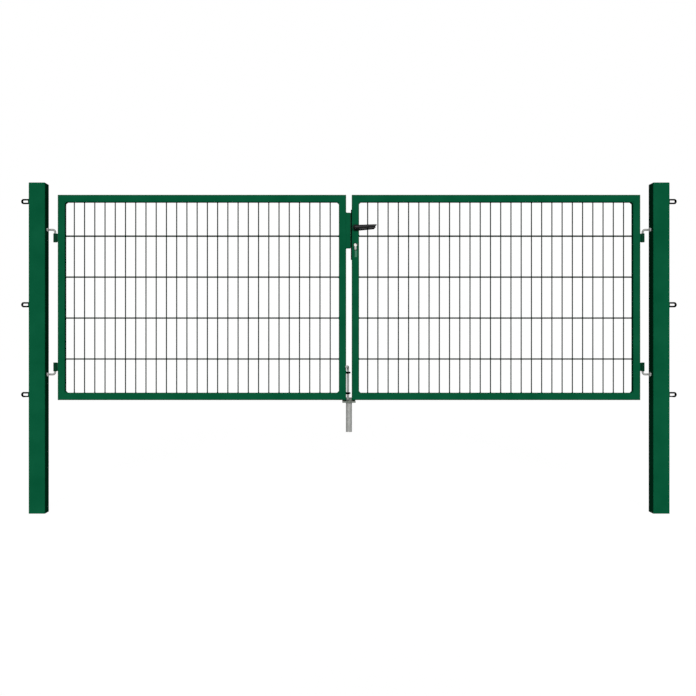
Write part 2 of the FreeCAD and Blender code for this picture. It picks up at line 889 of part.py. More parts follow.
def drop_bolt(label):
    """Upright rod with its top bent forward as a handle, drawn just clear of the ground piece."""
    x = "left_leaf_end + bolt_offset"
    shaft_length = "bolt_top - bolt_foot - bolt_bend"
    turn = FreeCAD.Rotation(Z_AXIS, -worth("bolt_handle_turn"))
    shaft = bar(label + "_shaft", "bolt_radius", shaft_length, x, "0", "bolt_foot", turn)
    elbow_x = x + " - bolt_bend * sin(bolt_handle_turn)"
    elbow_y = "-bolt_bend * cos(bolt_handle_turn)"
    elbow = bend(
        label + "_elbow",
        "bolt_bend",
        "bolt_radius",
        90,
        elbow_x,
        elbow_y,
        "bolt_top - bolt_bend",
        turn * FreeCAD.Rotation(Z_AXIS, 90) * FreeCAD.Rotation(X_AXIS, 90),
    )
    handle = bar(
        label + "_handle",
        "bolt_radius",
        "bolt_handle_reach - bolt_bend",
        elbow_x,
        elbow_y,
        "bolt_top",
        turn * FreeCAD.Rotation(X_AXIS, 90),
    )
    return export(joined(label, [shaft, elbow, handle]), label)


def ground_plate(label):
    """Plate with the bolt's hole and an upright lip that both leaves stop against."""
    plate = box(
        label + "_plate",
        "plate_width",
        "plate_front + frame_tube / 2 + stop_gap + plate_thickness",
        "plate_thickness",
        "gate_middle - plate_width / 2",
        "-plate_front",
        "ground_plate_bottom",
    )
    lip = box(
        label + "_lip",
        "plate_width",
        "plate_thickness",
        "plate_thickness + plate_gap + stop_rise",
        "gate_middle - plate_width / 2",
        "frame_tube / 2 + stop_gap",
        "ground_plate_bottom",
    )
    bore = rod(
        label + "_bore",
        "socket_bore_radius",
        "plate_thickness",
        "gate_middle",
        "0",
        "ground_plate_bottom",
    )
    return export(cut(label, joined(label + "_outer", [plate, lip]), bore), label)


def ground_socket(label):
    base = "ground_plate_bottom - socket_length"
    tube = rod(label + "_tube", "socket_radius", "socket_length", "gate_middle", "0", base)
    bore = rod(label + "_bore", "socket_bore_radius", "socket_length", "gate_middle", "0", base)
    return export(cut(label, tube, bore), label)


# Assembly

fill_sheet()
for side, post_x, axis_x, inward in (
    ("left", "0", "hinge_axis_left", 1),
    ("right", "post_spacing", "hinge_axis_right", -1),
):
    drilled_post("post_" + side, post_x, inward)
    post_cap("post_cap_" + side, post_x)
    outer_face = post_x + (" - " if inward > 0 else " + ") + "post_width / 2"
    inner_face = post_x + (" + " if inward > 0 else " - ") + "post_width / 2"
    fence_loops("fence_loops_" + side, outer_face, -inward)
    hinge_hooks("hinge_hooks_" + side, inner_face, axis_x, inward)
    for level in ("upper", "lower"):
        ending = side + "_" + level
        hook_nut("hook_nut_" + ending, inner_face, inward, level)
        hinge_sleeve("hinge_sleeve_" + ending, axis_x, inward, level)
export(leaf_frame("left", "left_leaf_start", "left_leaf_end", 1), "left_meeting_stile")
plain_stile = leaf_frame("right", "right_leaf_start", "right_leaf_end", -1)
plain_stile.Label = "right_meeting_stile_plain"
export(lock_stile(plain_stile), "right_meeting_stile")
mesh_panel("left_mesh", "left_leaf_start")
mesh_panel("right_mesh", "right_leaf_start")
keep_box("lock_keep")
lock_forend("lock_forend")
export(
    profile_cylinder("lock_cylinder", "0", "frame_tube + 2 * cylinder_proud"), "lock_cylinder"
)
rosette("rosette_front", True)
rosette("rosette_back", False)
lever("lever_front", True)
lever("lever_back", False)
spindle("lever_spindle")
bolt_guide("bolt_guide_upper", "upper_guide_rise")
bolt_guide("bolt_guide_lower", "lower_guide_rise")
drop_bolt("drop_bolt_rod")
ground_plate("ground_stop_plate")
ground_socket("ground_socket")

document.recompute()
faults = []
for item in document.Objects:
    if "Invalid" in item.State or "Error" in item.State:
        faults.append(item.Label + " did not compute")
for item in exports:
    if item.Shape.isNull() or not item.Shape.isValid() or not item.Shape.Solids:
        faults.append(item.Label + " has no valid solid")
if faults:
    raise RuntimeError("; ".join(faults))

os.makedirs("parts", exist_ok=True)
for item in exports:
    item.Shape.exportStep("parts/" + item.Label + ".step")
    extent = item.Shape.BoundBox
    print(
        item.Label,
        len(item.Shape.Solids),
        round(item.Shape.Volume, 1),
        [round(v, 1) for v in (extent.XMin, extent.XMax, extent.YMin, extent.YMax)],
        [round(v, 1) for v in (extent.ZMin, extent.ZMax)],
    )
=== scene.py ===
import json
import math

import bmesh
import bpy
from mathutils import Matrix, Vector


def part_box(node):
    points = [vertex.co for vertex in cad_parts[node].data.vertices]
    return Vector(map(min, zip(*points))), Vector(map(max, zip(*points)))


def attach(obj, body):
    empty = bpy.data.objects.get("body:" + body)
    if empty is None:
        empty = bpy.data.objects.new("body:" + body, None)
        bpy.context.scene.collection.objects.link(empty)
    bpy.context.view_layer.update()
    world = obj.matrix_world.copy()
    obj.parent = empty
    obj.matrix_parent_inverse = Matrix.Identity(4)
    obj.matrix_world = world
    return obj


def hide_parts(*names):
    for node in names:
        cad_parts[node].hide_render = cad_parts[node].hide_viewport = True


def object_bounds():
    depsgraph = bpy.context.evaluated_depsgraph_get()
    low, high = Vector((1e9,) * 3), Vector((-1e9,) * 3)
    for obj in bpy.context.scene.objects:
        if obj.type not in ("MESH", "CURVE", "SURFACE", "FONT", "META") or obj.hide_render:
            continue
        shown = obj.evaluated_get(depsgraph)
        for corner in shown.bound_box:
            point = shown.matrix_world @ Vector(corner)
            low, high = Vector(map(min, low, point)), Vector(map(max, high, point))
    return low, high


# Double fence gate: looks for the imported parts, in metres, in the row frame.
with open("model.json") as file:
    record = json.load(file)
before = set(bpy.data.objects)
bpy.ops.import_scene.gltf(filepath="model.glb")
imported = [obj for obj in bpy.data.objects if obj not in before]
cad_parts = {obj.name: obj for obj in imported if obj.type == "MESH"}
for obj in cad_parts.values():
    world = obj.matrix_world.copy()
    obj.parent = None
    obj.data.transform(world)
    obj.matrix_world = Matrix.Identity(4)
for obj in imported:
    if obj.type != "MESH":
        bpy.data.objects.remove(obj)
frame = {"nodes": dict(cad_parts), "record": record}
cad_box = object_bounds()

# Where the photo was taken from
CAMERA_PLACE = (1.3775, -5.497, 0.8037)
CAMERA_SHIFT = 0.0391
CAMERA_LENS = 58.2
CAMERA_SENSOR = 36.0
CAMERA_REACH = 200

# Light: strengths, and angles in degrees
KEY_STRENGTH = 2.75
KEY_ELEVATION = 12
BACK_STRENGTH = 2.2
BACK_ELEVATION = 12
SUN_SPREAD = 12
SIDE_POWER = 7
SIDE_SIZE = 1.6
SIDE_DISTANCE = 0.9
AMBIENT = 0.06
FLOOR_COLOUR = 0.2
FLOOR_GLOW = 0.93
FLOOR_HALF = 60

# Surfaces: scales in ripples a metre, spreads of the roughness, depths in metres
NOISE_LOW = 0.3
NOISE_HIGH = 0.7
CLOUD_SCALE = 9
SKIN_SCALE = 700
SKIN_SPREAD = 0.08
SKIN_DEPTH = 0.00006
CRYSTAL_SCALE = 160
CRYSTAL_SPREAD = 0.06
BLOOM_SCALE = 900
BLOOM_DEPTH = 0.00005

# Weld ripples, as shares of a bead's radius, and how a bead thins out at its ends
RIPPLE_STEPS = 3
RIPPLE_LOW = 0.88
RIPPLE_RISE = 0.12
BEAD_PITCH = 0.0016
BEAD_SIDES = 8
END_LOW = 0.35
END_RISE = 0.65
END_SLOPE = 1.5

# Wire mesh
UPRIGHTS = 26
UPRIGHT_PITCH = 0.05
UPRIGHT_RADIUS = 0.0028
LEVELS = 4
LEVEL_PITCH = 0.2
LEVEL_RADIUS = 0.0033
LEVEL_OFFSET = 0.005
WIRE_SIDES = 12
COLLAR = [(0, 0.0022), (0.0007, 0.0016), (0.0018, 0.0006), (0.0032, 0.0)]
CROSSING_SHARE = 0.55
CROSSING_SIZES = (0.0034, 0.0017, 0.0042)

# Frame tube, with the fillets in its corners and the ground seams of its mitres
TUBE = 0.035
FILLET_LEG = 0.0085
FILLET_SET_BACK = 0.002
FILLET_BEVEL = 0.0008
SEAM_RADIUS = 0.0005
SEAM_PITCH = 0.0022
SEAM_SIDES = 6
SEAM_DEPTH = 0.0003
SEAM_START = 0.002
SEAM_END = 0.001

# Loops on the posts
LOOP_RADIUS = 0.004
LOOP_SPACING = 0.018
LOOP_SWELL = 0.0012
LOOP_CROSS = 0.009
LOOP_MIDDLE = 1.015
LOOP_STEPS = 20
LOOP_WELD = 0.0016
LOOP_WELD_PLACE = 0.0006
LOOP_WELD_RIPPLES = 10

# Hinges; shares are of a thread's pitch, or of the nut's width over its flats
HOOK_RADIUS = 0.005
HOOK_BEND = 0.012
HOOK_CHAMFER = 0.001
HOOK_SIDES = 20
PIN_STOP = 0.005
SLEEVE_RADIUS = 0.009
SLEEVE_BORE = 0.0054
SLEEVE_RIM = 0.0007
SLEEVE_SIDES = 40
LUG_START = 0.8 * SLEEVE_RADIUS
LUG_THICK = 0.01
LUG_SHORTER = 0.002
LUG_CORNER = 0.001
LUG_BEVEL = 0.0008
LUG_WELD = 0.002
LUG_WELD_END = 0.0018
LUG_WELD_OFFSET = 0.0055
LUG_WELD_SET_BACK = 0.001
THREAD_PITCH = 0.0015
THREAD_DEPTH = 0.00075
THREAD_ROOT = 0.0006
THREAD_PAST_NUT = 0.0095
CREST_START = 0.4
CREST_END = 0.6
NUT_SIDES = 48
NUT_WASHER = 0.0006
NUT_BITE = 0.0003
NUT_FACE = 0.48
NUT_COLLAR = 0.485
NUT_CHAMFER = 0.045
HEX_EXCESS = 2 / math.sqrt(3) - 1

# Lock cylinder, with the margin and the height of each ring of its black seal rim, which paints the shade
# in the gap round the cylinder
LOCK_MIDDLE = 1.5465
CYLINDER_HEIGHT = 1.305
CYLINDER_RADIUS = 0.0085
CYLINDER_WEB = 0.005
CYLINDER_TALL = 0.033
BODY_SET_BACK = 0.0009
BODY_BEVEL = 0.0008
SHADE_RIM_RINGS = [(0.0024, -0.0002), (0.0024, 0.0006), (0.0017, 0.0011), (0.0003, 0.0009), (0.0003, -0.004)]
CORE_RADIUS = 0.0058
CORE_SIDES = 32
CORE_RIM = 0.0012
CORE_SET_BACK = 0.0001
KEY_SLOT = [
    (-0.0007, -0.0042), (0.0007, -0.0042), (0.0007, -0.0012), (0.0014, -0.0006), (0.0014, 0.0006),
    (0.0006, 0.0012), (0.0006, 0.0038), (-0.0006, 0.0038), (-0.0006, 0.0018), (-0.0014, 0.0012),
    (-0.0014, -0.0004), (-0.0007, -0.001),
]
KEY_SLOT_DEPTH = 0.004
KEY_SLOT_HALF_WIDTH = 0.0014
KEY_SLOT_HALF_HEIGHT = 0.0038
KEY_SLOT_SHARE = 0.9

# Strip under the cylinder, which carries a painted highlight
STRIP_WIDTH = 0.011
STRIP_HEIGHT = 0.033
STRIP_CORNER = 0.003
STRIP_OFFSET = 0.002
STRIP_MIDDLE = 1.2625
STRIP_ROOT = 0.0005
STRIP_PROUD = 0.0012
STRIP_BEVEL = 0.0006

# Forend and keep; latch and bolt are given by their lower edge and height
FOREND_EXTRA = 0.0014
FOREND_CORNER = 0.003
FOREND_BEVEL = 0.0005
LATCH = (1.405, 0.034)
DEAD_BOLT = (1.321, 0.056)
TONGUE_WIDTH = 0.0142
TONGUE_GAP = 0.0008
TONGUE_CORNER = 0.0012
TONGUE_PROUD = 0.0002
TONGUE_ROOT = 0.001
TONGUE_BEVEL = 0.0002
SCREW_RADIUS = 0.0042
SCREW_SUNK = 0.0001
SCREW_SIDES = 28
SCREW_FROM_END = 0.012
KEEP_WELD = 0.0024
KEEP_WELD_HALF = 0.015
KEEP_SEAM = 0.0008
KEEP_SEAM_PITCH = 0.002
KEEP_LIP_PLACE = 0.0095
KEEP_LIP_WIDTH = 0.0038
KEEP_LIP_REACH = 0.0033
KEEP_LIP_CORNER = 0.0015
KEEP_LIP_ROOT = 0.001
KEEP_LIP_BEVEL = 0.0004

# Lever, with the place and the share of its full section for each ring of the tip
LEVER_HEIGHT = 1.39
GRIP_ROOT = 0.0095
GRIP_REACH = 0.1
GRIP_THICK = 0.012
GRIP_TOP_RISE = 0.00325
GRIP_BOTTOM_RISE = 0.00931
GRIP_TIP = [(0.0945, 1.0), (0.0962, 0.95), (0.0975, 0.84), (0.0984, 0.66), (0.099, 0.38)]
GRIP_STEP = 0.004
GRIP_STEPS = 24
GRIP_ROOT_STEPS = 7
GRIP_SIDES = 24
GRIP_POWER = 0.72
GRIP_ROOT_THIN = 0.45
GRIP_LEAST = 0.0001
GRIP_LEAN = 0.003
GRIP_LEAN_START = 0.05
GRIP_LEAN_LENGTH = 0.045
GRUB_PLACE = 0.014
GRUB_DROP = 0.008
GRUB_SIDES = 16
ROSETTE_BORE = 0.0084
ROSETTE_SIDES = 48

# Drop bolt, with the height and the radius of each ring of its foot
BOLT_X = 1.51
BOLT_RADIUS = 0.006
BOLT_BEND = 0.01
BOLT_TURN = 8
BOLT_HANDLE = 0.062
BOLT_CHAMFER = 0.0012
BOLT_SIDES = 24
BEND_STEPS = 12
BEND_LEAD = 0.002
BOLT_FOOT = [(0, 0.0035), (0.001, 0.0046), (0.003, 0.0055), (0.007, BOLT_RADIUS)]
EYE_BORE = 0.0065
EYE_SIDES = 48
EYE_BEVEL = 0.003
EYE_EDGE = 0.0009
EYE_WELD = 0.0016
EYE_WELD_SET_BACK = 0.002
EYE_AT_STILE = 0.0005
FAR = 10.0
SQUARE = 1e-6

# Ground piece
GROUND_MIDDLE = 1.515
PLATE_THICK = 0.008
LIP_THICK = 0.008
SOCKET_WELD = 0.0022
SOCKET_WELD_RIPPLES = 30
SOCKET_WELD_DROP = 0.0004
LIP_WELD = 0.002


# Shells: each is a list of points and a list of faces

def shifted(faces, start):
    return [tuple(start + corner for corner in face) for face in faces]


def merged(shells):
    points = []
    faces = []
    for shell_points, shell_faces in shells:
        faces += shifted(shell_faces, len(points))
        points += shell_points
    return points, faces


def rings_to_shell(rings, closed_ends=True):
    """Skin over a row of rings with the same number of points."""
    sides = len(rings[0])
    points = [point for ring in rings for point in ring]
    faces = []
    for row in range(len(rings) - 1):
        for side in range(sides):
            after = (side + 1) % sides
            low = row * sides
            high = low + sides
            faces.append((low + side, low + after, high + after, high + side))
    if closed_ends:
        faces.append(tuple(reversed(range(sides))))
        last = (len(rings) - 1) * sides
        faces.append(tuple(range(last, last + sides)))
    return points, faces


def rings_to_loop(rings):
    """Skin over rings of which the last one joins the first."""
    points, faces = rings_to_shell(rings, closed_ends=False)
    sides = len(rings[0])
    last = (len(rings) - 1) * sides
    for side in range(sides):
        after = (side + 1) % sides
        faces.append((last + side, last + after, after, side))
    return points, faces


def frame_along(axis, steep=0.9):
    """Two directions square to an axis, so that the three turn right-handed."""
    axis = Vector(axis).normalized()
    helper = Vector((0, 0, 1)) if abs(axis.z) < steep else Vector((1, 0, 0))
    across = helper.cross(axis).normalized()
    return across, axis.cross(across)


def ring(centre, across, up, radius, sides, wide=1.0, tall=1.0):
    centre = Vector(centre)
    points = []
    for number in range(sides):
        angle = 2 * math.pi * number / sides
        points.append(
            centre
            + across * (radius * wide * math.cos(angle))
            + up * (radius * tall * math.sin(angle))
        )
    return points


def lathe_rings(profile, centre, axis, sides):
    """Rings of a turned shape; the profile gives distances along the axis and radii."""
    across, up = frame_along(axis)
    axis = Vector(axis).normalized()
    return [ring(Vector(centre) + axis * along, across, up, radius, sides) for along, radius in profile]


def lathe(profile, centre, axis, sides=32):
    """Turned shape with closed ends."""
    return rings_to_shell(lathe_rings(profile, centre, axis, sides))


def hollow_lathe(profile, centre, axis, sides):
    """Turned shape round an open middle; the profile is a closed outline."""
    return rings_to_loop(lathe_rings(profile, centre, axis, sides))


def tube(path, radii, sides=16):
    """Round bar along a path, with a radius for each point of it."""
    path = [Vector(point) for point in path]
    first = (path[1] - path[0]).normalized()
    across, up = frame_along(first)
    rings = []
    for number, point in enumerate(path):
        before = path[max(number - 1, 0)]
        after = path[min(number + 1, len(path) - 1)]
        heading = (after - before).normalized()
        turn = first.rotation_difference(heading)
        rings.append(ring(point, turn @ across, turn @ up, radii[number], sides))
    return rings_to_shell(rings)


def arc(centre, start, axis, sweep, steps):
    """Points on a circle about a centre, from a start point on."""
    centre = Vector(centre)
    arm = Vector(start) - centre
    points = []
    for number in range(steps + 1):
        turn = Matrix.Rotation(math.radians(sweep) * number / steps, 3, Vector(axis))
        points.append(centre + turn @ arm)
    return points


def rippled(radius, number):
    """A bead's radius at a step along its ripples."""
    return radius * (RIPPLE_LOW + RIPPLE_RISE * math.cos(2 * math.pi * number / RIPPLE_STEPS))


def weld_bead(start, end, radius, pitch=BEAD_PITCH, sides=BEAD_SIDES):
    """Row of overlapping weld ripples between two points."""
    start = Vector(start)
    end = Vector(end)
    ripples = max(2, round((end - start).length / pitch))
    steps = ripples * RIPPLE_STEPS
    path = []
    radii = []
    for number in range(steps + 1):
        part = number / steps
        path.append(start.lerp(end, part))
        fade = min(1.0, part * ripples * END_SLOPE, (1 - part) * ripples * END_SLOPE)
        radii.append(rippled(radius, number) * (END_LOW + END_RISE * fade))
    return tube(path, radii, sides)


def weld_ring(centre, axis, ring_radius, radius, ripples):
    """Weld bead right round a bar or a tube."""
    across, up = frame_along(axis)
    axis = Vector(axis).normalized()
    steps = ripples * RIPPLE_STEPS
    rings = []
    for number in range(steps):
        angle = 2 * math.pi * number / steps
        outward = across * math.cos(angle) + up * math.sin(angle)
        middle = Vector(centre) + outward * ring_radius
        rings.append(ring(middle, outward, axis, rippled(radius, number), BEAD_SIDES))
    return rings_to_loop(rings)


def nugget(centre, sizes, sides=8, rows=4):
    """Small flattened spot of weld metal."""
    rings = []
    for row in range(rows + 1):
        lift = -math.pi / 2 + math.pi * (row + 0.5) / (rows + 1)
        middle = Vector(centre) + Vector((0, sizes[1] * math.sin(lift), 0))
        across = Vector((1, 0, 0))
        up = Vector((0, 0, 1))
        rings.append(ring(middle, across, up, math.cos(lift), sides, sizes[0], sizes[2]))
    return rings_to_shell(rings)


def inset(outline, distance, least_spread=0.3, shortest=1e-9):
    """Closed outline moved inwards along its own normals; the outline turns anticlockwise."""
    count = len(outline)
    moved = []
    for number, point in enumerate(outline):
        before = Vector(outline[number - 1])
        after = Vector(outline[(number + 1) % count])
        here = Vector(point)
        first = (here - before).normalized()
        second = (after - here).normalized()
        normal = Vector((-first.y - second.y, first.x + second.x))
        if normal.length < shortest:
            normal = Vector((-first.y, first.x))
        normal.normalize()
        spread = max(least_spread, normal.dot(Vector((-first.y, first.x))))
        moved.append(here + normal * (distance / spread))
    return moved


def slab(outline, low, high, bevel, place, steps=3):
    """Flat plate with rounded rims; place turns an outline point and a depth into a point in space."""
    turns = [math.pi / 2 * number / steps for number in range(steps + 1)]
    insets = [(bevel * (1 - math.sin(turn)), bevel * (1 - math.cos(turn))) for turn in turns]
    levels = [(low + depth, shrink) for depth, shrink in reversed(insets)]
    levels += [(high - depth, shrink) for depth, shrink in insets]
    rings = []
    for depth, shrink in levels:
        rings.append([place(point, depth) for point in inset(outline, shrink)])
    return rings_to_shell(rings)


def front_place(point, depth):
    """Outline in X and Z, depth along Y."""
    return Vector((point[0], depth, point[1]))


def edge_place(point, depth):
    """Outline in Y and Z, depth along X."""
    return Vector((depth, point[0], point[1]))


def rounded_box(width, height, corner, middle=(0, 0), steps=5):
    """Anticlockwise outline of a rectangle with round corners."""
    points = []
    for number, (sx, sy) in enumerate([(1, 1), (-1, 1), (-1, -1), (1, -1)]):
        centre = Vector((sx * (width / 2 - corner), sy * (height / 2 - corner))) + Vector(middle)
        for step in range(steps + 1):
            angle = math.pi / 2 * (number + step / steps)
            points.append(centre + Vector((math.cos(angle), math.sin(angle))) * corner)
    return points


def evenly(middle, count, pitch):
    """Places in a row with a pitch, about the row's middle."""
    return [middle + (number - (count - 1) / 2) * pitch for number in range(count)]


def piece(name, shells, body, slot, replaced=(), sharp=40, finish=None):
    """One object from shells, shaded smooth apart from its sharp edges."""
    points, faces = merged(shells)
    mesh = bpy.data.meshes.new(name)
    mesh.from_pydata([tuple(point) for point in points], [], faces)
    shape = bmesh.new()
    shape.from_mesh(mesh)
    bmesh.ops.recalc_face_normals(shape, faces=shape.faces)
    shape.to_mesh(mesh)
    shape.free()
    for face in mesh.polygons:
        face.use_smooth = True
    mesh.set_sharp_from_angle(angle=math.radians(sharp))
    mesh.materials.append(FINISHES[finish or slot])
    item = bpy.data.objects.new(name, mesh)
    bpy.context.scene.collection.objects.link(item)
    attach(item, body)
    if replaced:
        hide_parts(*replaced)


# Stage

def linear(level):
    level = level / 255
    return level / 12.92 if level <= 0.04045 else ((level + 0.055) / 1.055) ** 2.4


def colour(red, green, blue):
    """A shader colour from the 0 to 255 levels seen on screen."""
    return (linear(red), linear(green), linear(blue), 1)


def background_rays(nodes, links):
    """1 for the rays that show the studio itself: seen directly, mirrored or through something."""
    path = nodes.new("ShaderNodeLightPath")
    seen = path.outputs["Is Camera Ray"]
    for kind in ("Is Glossy Ray", "Is Transmission Ray"):
        larger = nodes.new("ShaderNodeMath")
        larger.operation = "MAXIMUM"
        links.new(seen, larger.inputs[0])
        links.new(path.outputs[kind], larger.inputs[1])
        seen = larger.outputs[0]
    return seen


def white_world():
    world = bpy.data.worlds.new("studio")
    bpy.context.scene.world = world
    world.use_nodes = True
    nodes = world.node_tree.nodes
    links = world.node_tree.links
    background = nodes["Background"]
    background.inputs["Color"].default_value = (1, 1, 1, 1)
    strength = nodes.new("ShaderNodeMapRange")
    strength.inputs["To Min"].default_value = AMBIENT
    strength.inputs["To Max"].default_value = 1
    links.new(background_rays(nodes, links), strength.inputs["Value"])
    links.new(strength.outputs["Result"], background.inputs["Strength"])


def sun(name, strength, heading, elevation, mirrored=True):
    """A soft distant lamp, mirrored in gloss or not; heading 0 shines away from the viewer, 180 back."""
    lamp = bpy.data.lights.new(name, "SUN")
    lamp.energy = strength
    lamp.angle = math.radians(SUN_SPREAD)
    holder = bpy.data.objects.new(name, lamp)
    bpy.context.scene.collection.objects.link(holder)
    tilt = math.radians(90 - elevation)
    holder.rotation_euler = (tilt, 0, math.radians(heading))
    holder.visible_glossy = mirrored


def side_lamp(name, post_x, way):
    """A large soft lamp beside a post, for its outer side."""
    lamp = bpy.data.lights.new(name, "AREA")
    lamp.energy = SIDE_POWER
    lamp.size = SIDE_SIZE
    holder = bpy.data.objects.new(name, lamp)
    bpy.context.scene.collection.objects.link(holder)
    holder.location = (post_x + way * SIDE_DISTANCE, 0, SIDE_SIZE / 2)
    holder.rotation_euler = (math.radians(90), 0, math.radians(90 * way))
    holder.visible_camera = False
    holder.visible_glossy = False


def floor():
    mesh = bpy.data.meshes.new("floor")
    far = FLOOR_HALF
    corners = [(-far, -far, 0), (far, -far, 0), (far, far, 0), (-far, far, 0)]
    mesh.from_pydata(corners, [], [(0, 1, 2, 3)])
    plane = bpy.data.objects.new("floor", mesh)
    bpy.context.scene.collection.objects.link(plane)
    material, nodes, links, surface = start_material("floor_white")
    surface.inputs["Base Color"].default_value = (FLOOR_COLOUR,) * 3 + (1,)
    surface.inputs["Roughness"].default_value = 1
    surface.inputs["Specular IOR Level"].default_value = 0
    surface.inputs["Emission Color"].default_value = (1, 1, 1, 1)
    glow = nodes.new("ShaderNodeMath")
    glow.operation = "MULTIPLY"
    glow.inputs[1].default_value = FLOOR_GLOW
    links.new(background_rays(nodes, links), glow.inputs[0])
    links.new(glow.outputs[0], surface.inputs["Emission Strength"])
    mesh.materials.append(material)


def camera():
    lens = bpy.data.cameras.new("camera")
    lens.lens = CAMERA_LENS
    lens.sensor_width = CAMERA_SENSOR
    lens.shift_x = CAMERA_SHIFT
    lens.clip_end = CAMERA_REACH
    holder = bpy.data.objects.new("camera", lens)
    bpy.context.scene.collection.objects.link(holder)
    holder.location = CAMERA_PLACE
    holder.rotation_euler = (math.radians(90), 0, 0)
    bpy.context.scene.camera = holder


# Materials

def start_material(name):
    material = bpy.data.materials.new(name)
    material.use_nodes = True
    nodes = material.node_tree.nodes
    links = material.node_tree.links
    return material, nodes, links, nodes["Principled BSDF"]


def noise(nodes, links, scale, detail):
    """Soft random pattern in object space, scale in ripples a metre."""
    place = nodes.new("ShaderNodeTexCoord")
    pattern = nodes.new("ShaderNodeTexNoise")
    pattern.inputs["Scale"].default_value = scale
    pattern.inputs["Detail"].default_value = detail
    links.new(place.outputs["Object"], pattern.inputs["Vector"])
    return pattern.outputs["Fac"]


def between(nodes, links, value, first, last, low=NOISE_LOW, high=NOISE_HIGH):
    """A colour that goes from first to last as value goes from low to high."""
    ramp = nodes.new("ShaderNodeValToRGB")
    ramp.color_ramp.elements[0].position = low
    ramp.color_ramp.elements[0].color = first
    ramp.color_ramp.elements[1].position = high
    ramp.color_ramp.elements[1].color = last
    links.new(value, ramp.inputs["Fac"])
    return ramp.outputs["Color"]


def about(nodes, links, value, middle, spread):
    """A number that goes from below to above its middle over the pattern."""
    mapped = nodes.new("ShaderNodeMapRange")
    mapped.inputs["From Min"].default_value = NOISE_LOW
    mapped.inputs["From Max"].default_value = NOISE_HIGH
    mapped.inputs["To Min"].default_value = middle - spread
    mapped.inputs["To Max"].default_value = middle + spread
    links.new(value, mapped.inputs["Value"])
    return mapped.outputs["Result"]


def bumped(nodes, links, surface, height, depth):
    bump = nodes.new("ShaderNodeBump")
    bump.inputs["Strength"].default_value = 1
    bump.inputs["Distance"].default_value = depth
    links.new(height, bump.inputs["Height"])
    links.new(bump.outputs["Normal"], surface.inputs["Normal"])


def powder_coat(name, dark, light, specular, roughness):
    """Baked powder: one colour with faint clouds and the fine ripple of its skin."""
    material, nodes, links, surface = start_material(name)
    clouds = noise(nodes, links, CLOUD_SCALE, detail=5)
    links.new(between(nodes, links, clouds, colour(*dark), colour(*light)), surface.inputs["Base Color"])
    surface.inputs["Specular IOR Level"].default_value = specular
    skin = noise(nodes, links, SKIN_SCALE, detail=2)
    links.new(about(nodes, links, skin, roughness, SKIN_SPREAD), surface.inputs["Roughness"])
    bumped(nodes, links, surface, skin, SKIN_DEPTH)
    return material


def zinc(name, dark, light, metallic, roughness, specular):
    """Galvanised steel: patches of zinc crystal under a faint grey bloom."""
    material, nodes, links, surface = start_material(name)
    place = nodes.new("ShaderNodeTexCoord")
    crystals = nodes.new("ShaderNodeTexVoronoi")
    crystals.inputs["Scale"].default_value = CRYSTAL_SCALE
    links.new(place.outputs["Object"], crystals.inputs["Vector"])
    tone = nodes.new("ShaderNodeSeparateColor")
    links.new(crystals.outputs["Color"], tone.inputs["Color"])
    patches = between(nodes, links, tone.outputs["Red"], colour(*dark), colour(*light), low=0.1, high=0.9)
    links.new(patches, surface.inputs["Base Color"])
    surface.inputs["Metallic"].default_value = metallic
    surface.inputs["Specular IOR Level"].default_value = specular
    rough = about(nodes, links, tone.outputs["Green"], roughness, CRYSTAL_SPREAD)
    links.new(rough, surface.inputs["Roughness"])
    bumped(nodes, links, surface, noise(nodes, links, BLOOM_SCALE, detail=4), BLOOM_DEPTH)
    return material


FINISHES = {
    "green_coat": powder_coat("green_coat", (8, 82, 52), (14, 90, 59), specular=0.0, roughness=0.6),
    # The wire finish is a darker copy of the green coat: painted shade on the thin wires.
    "green_wire_painted_shade": powder_coat("green_wire_painted_shade", (2, 26, 16), (6, 38, 25), specular=0.0, roughness=0.6),
    # This darker copy of the green coat is painted shade, used on the hinge sleeves, the keep lips and the
    # rosette plates.
    "green_painted_shade": powder_coat("green_painted_shade", (1, 50, 30), (4, 60, 38), specular=0.03, roughness=0.4),
    # This lighter copy of the green coat is a painted highlight, used on the strip under the cylinder.
    "green_painted_highlight": powder_coat("green_painted_highlight", (52, 112, 86), (66, 122, 98), specular=0.1, roughness=0.5),
    "black_coat": powder_coat("black_coat", (6, 7, 6), (14, 15, 14), specular=0.0, roughness=0.5),
    "black_plastic": powder_coat("black_plastic", (6, 6, 7), (12, 12, 13), specular=0.08, roughness=0.4),
    "galvanised_steel": zinc(
        "galvanised_steel", (152, 153, 150), (168, 169, 166), metallic=0.1, roughness=0.55, specular=0.2
    ),
    # This darker copy of the galvanised finish is painted shade, used on the ground plate and its welds.
    "zinc_painted_shade": zinc(
        "zinc_painted_shade", (106, 113, 106), (120, 126, 118), metallic=0.05, roughness=0.6, specular=0.1
    ),
    "nickel": zinc("nickel", (134, 137, 132), (148, 151, 145), metallic=0.2, roughness=0.4, specular=0.2),
}
SLOT_OF = {entry["node"]: entry["material_slot"] for entry in frame["record"]["subparts"]}
# The ground plate takes the darker zinc copy: painted shade.
FINISH_OF = {"ground_stop_plate": "zinc_painted_shade"}


def dress_frame():
    """Finishes on the CAD objects, by their slots."""
    for name, node in frame["nodes"].items():
        for place in node.material_slots:
            place.material = FINISHES[FINISH_OF.get(name, SLOT_OF[name])]


# Leaves

def wire(start, end, radius):
    """Round wire with a small collar of weld at both ends."""
    start = Vector(start)
    end = Vector(end)
    collar = [(along, radius + extra) for along, extra in COLLAR]
    bar = [(0, radius), ((end - start).length, radius)]
    return [
        lathe(bar, start, end - start, WIRE_SIDES),
        lathe(collar, start, end - start, WIRE_SIDES),
        lathe(collar, end, start - end, WIRE_SIDES),
    ]


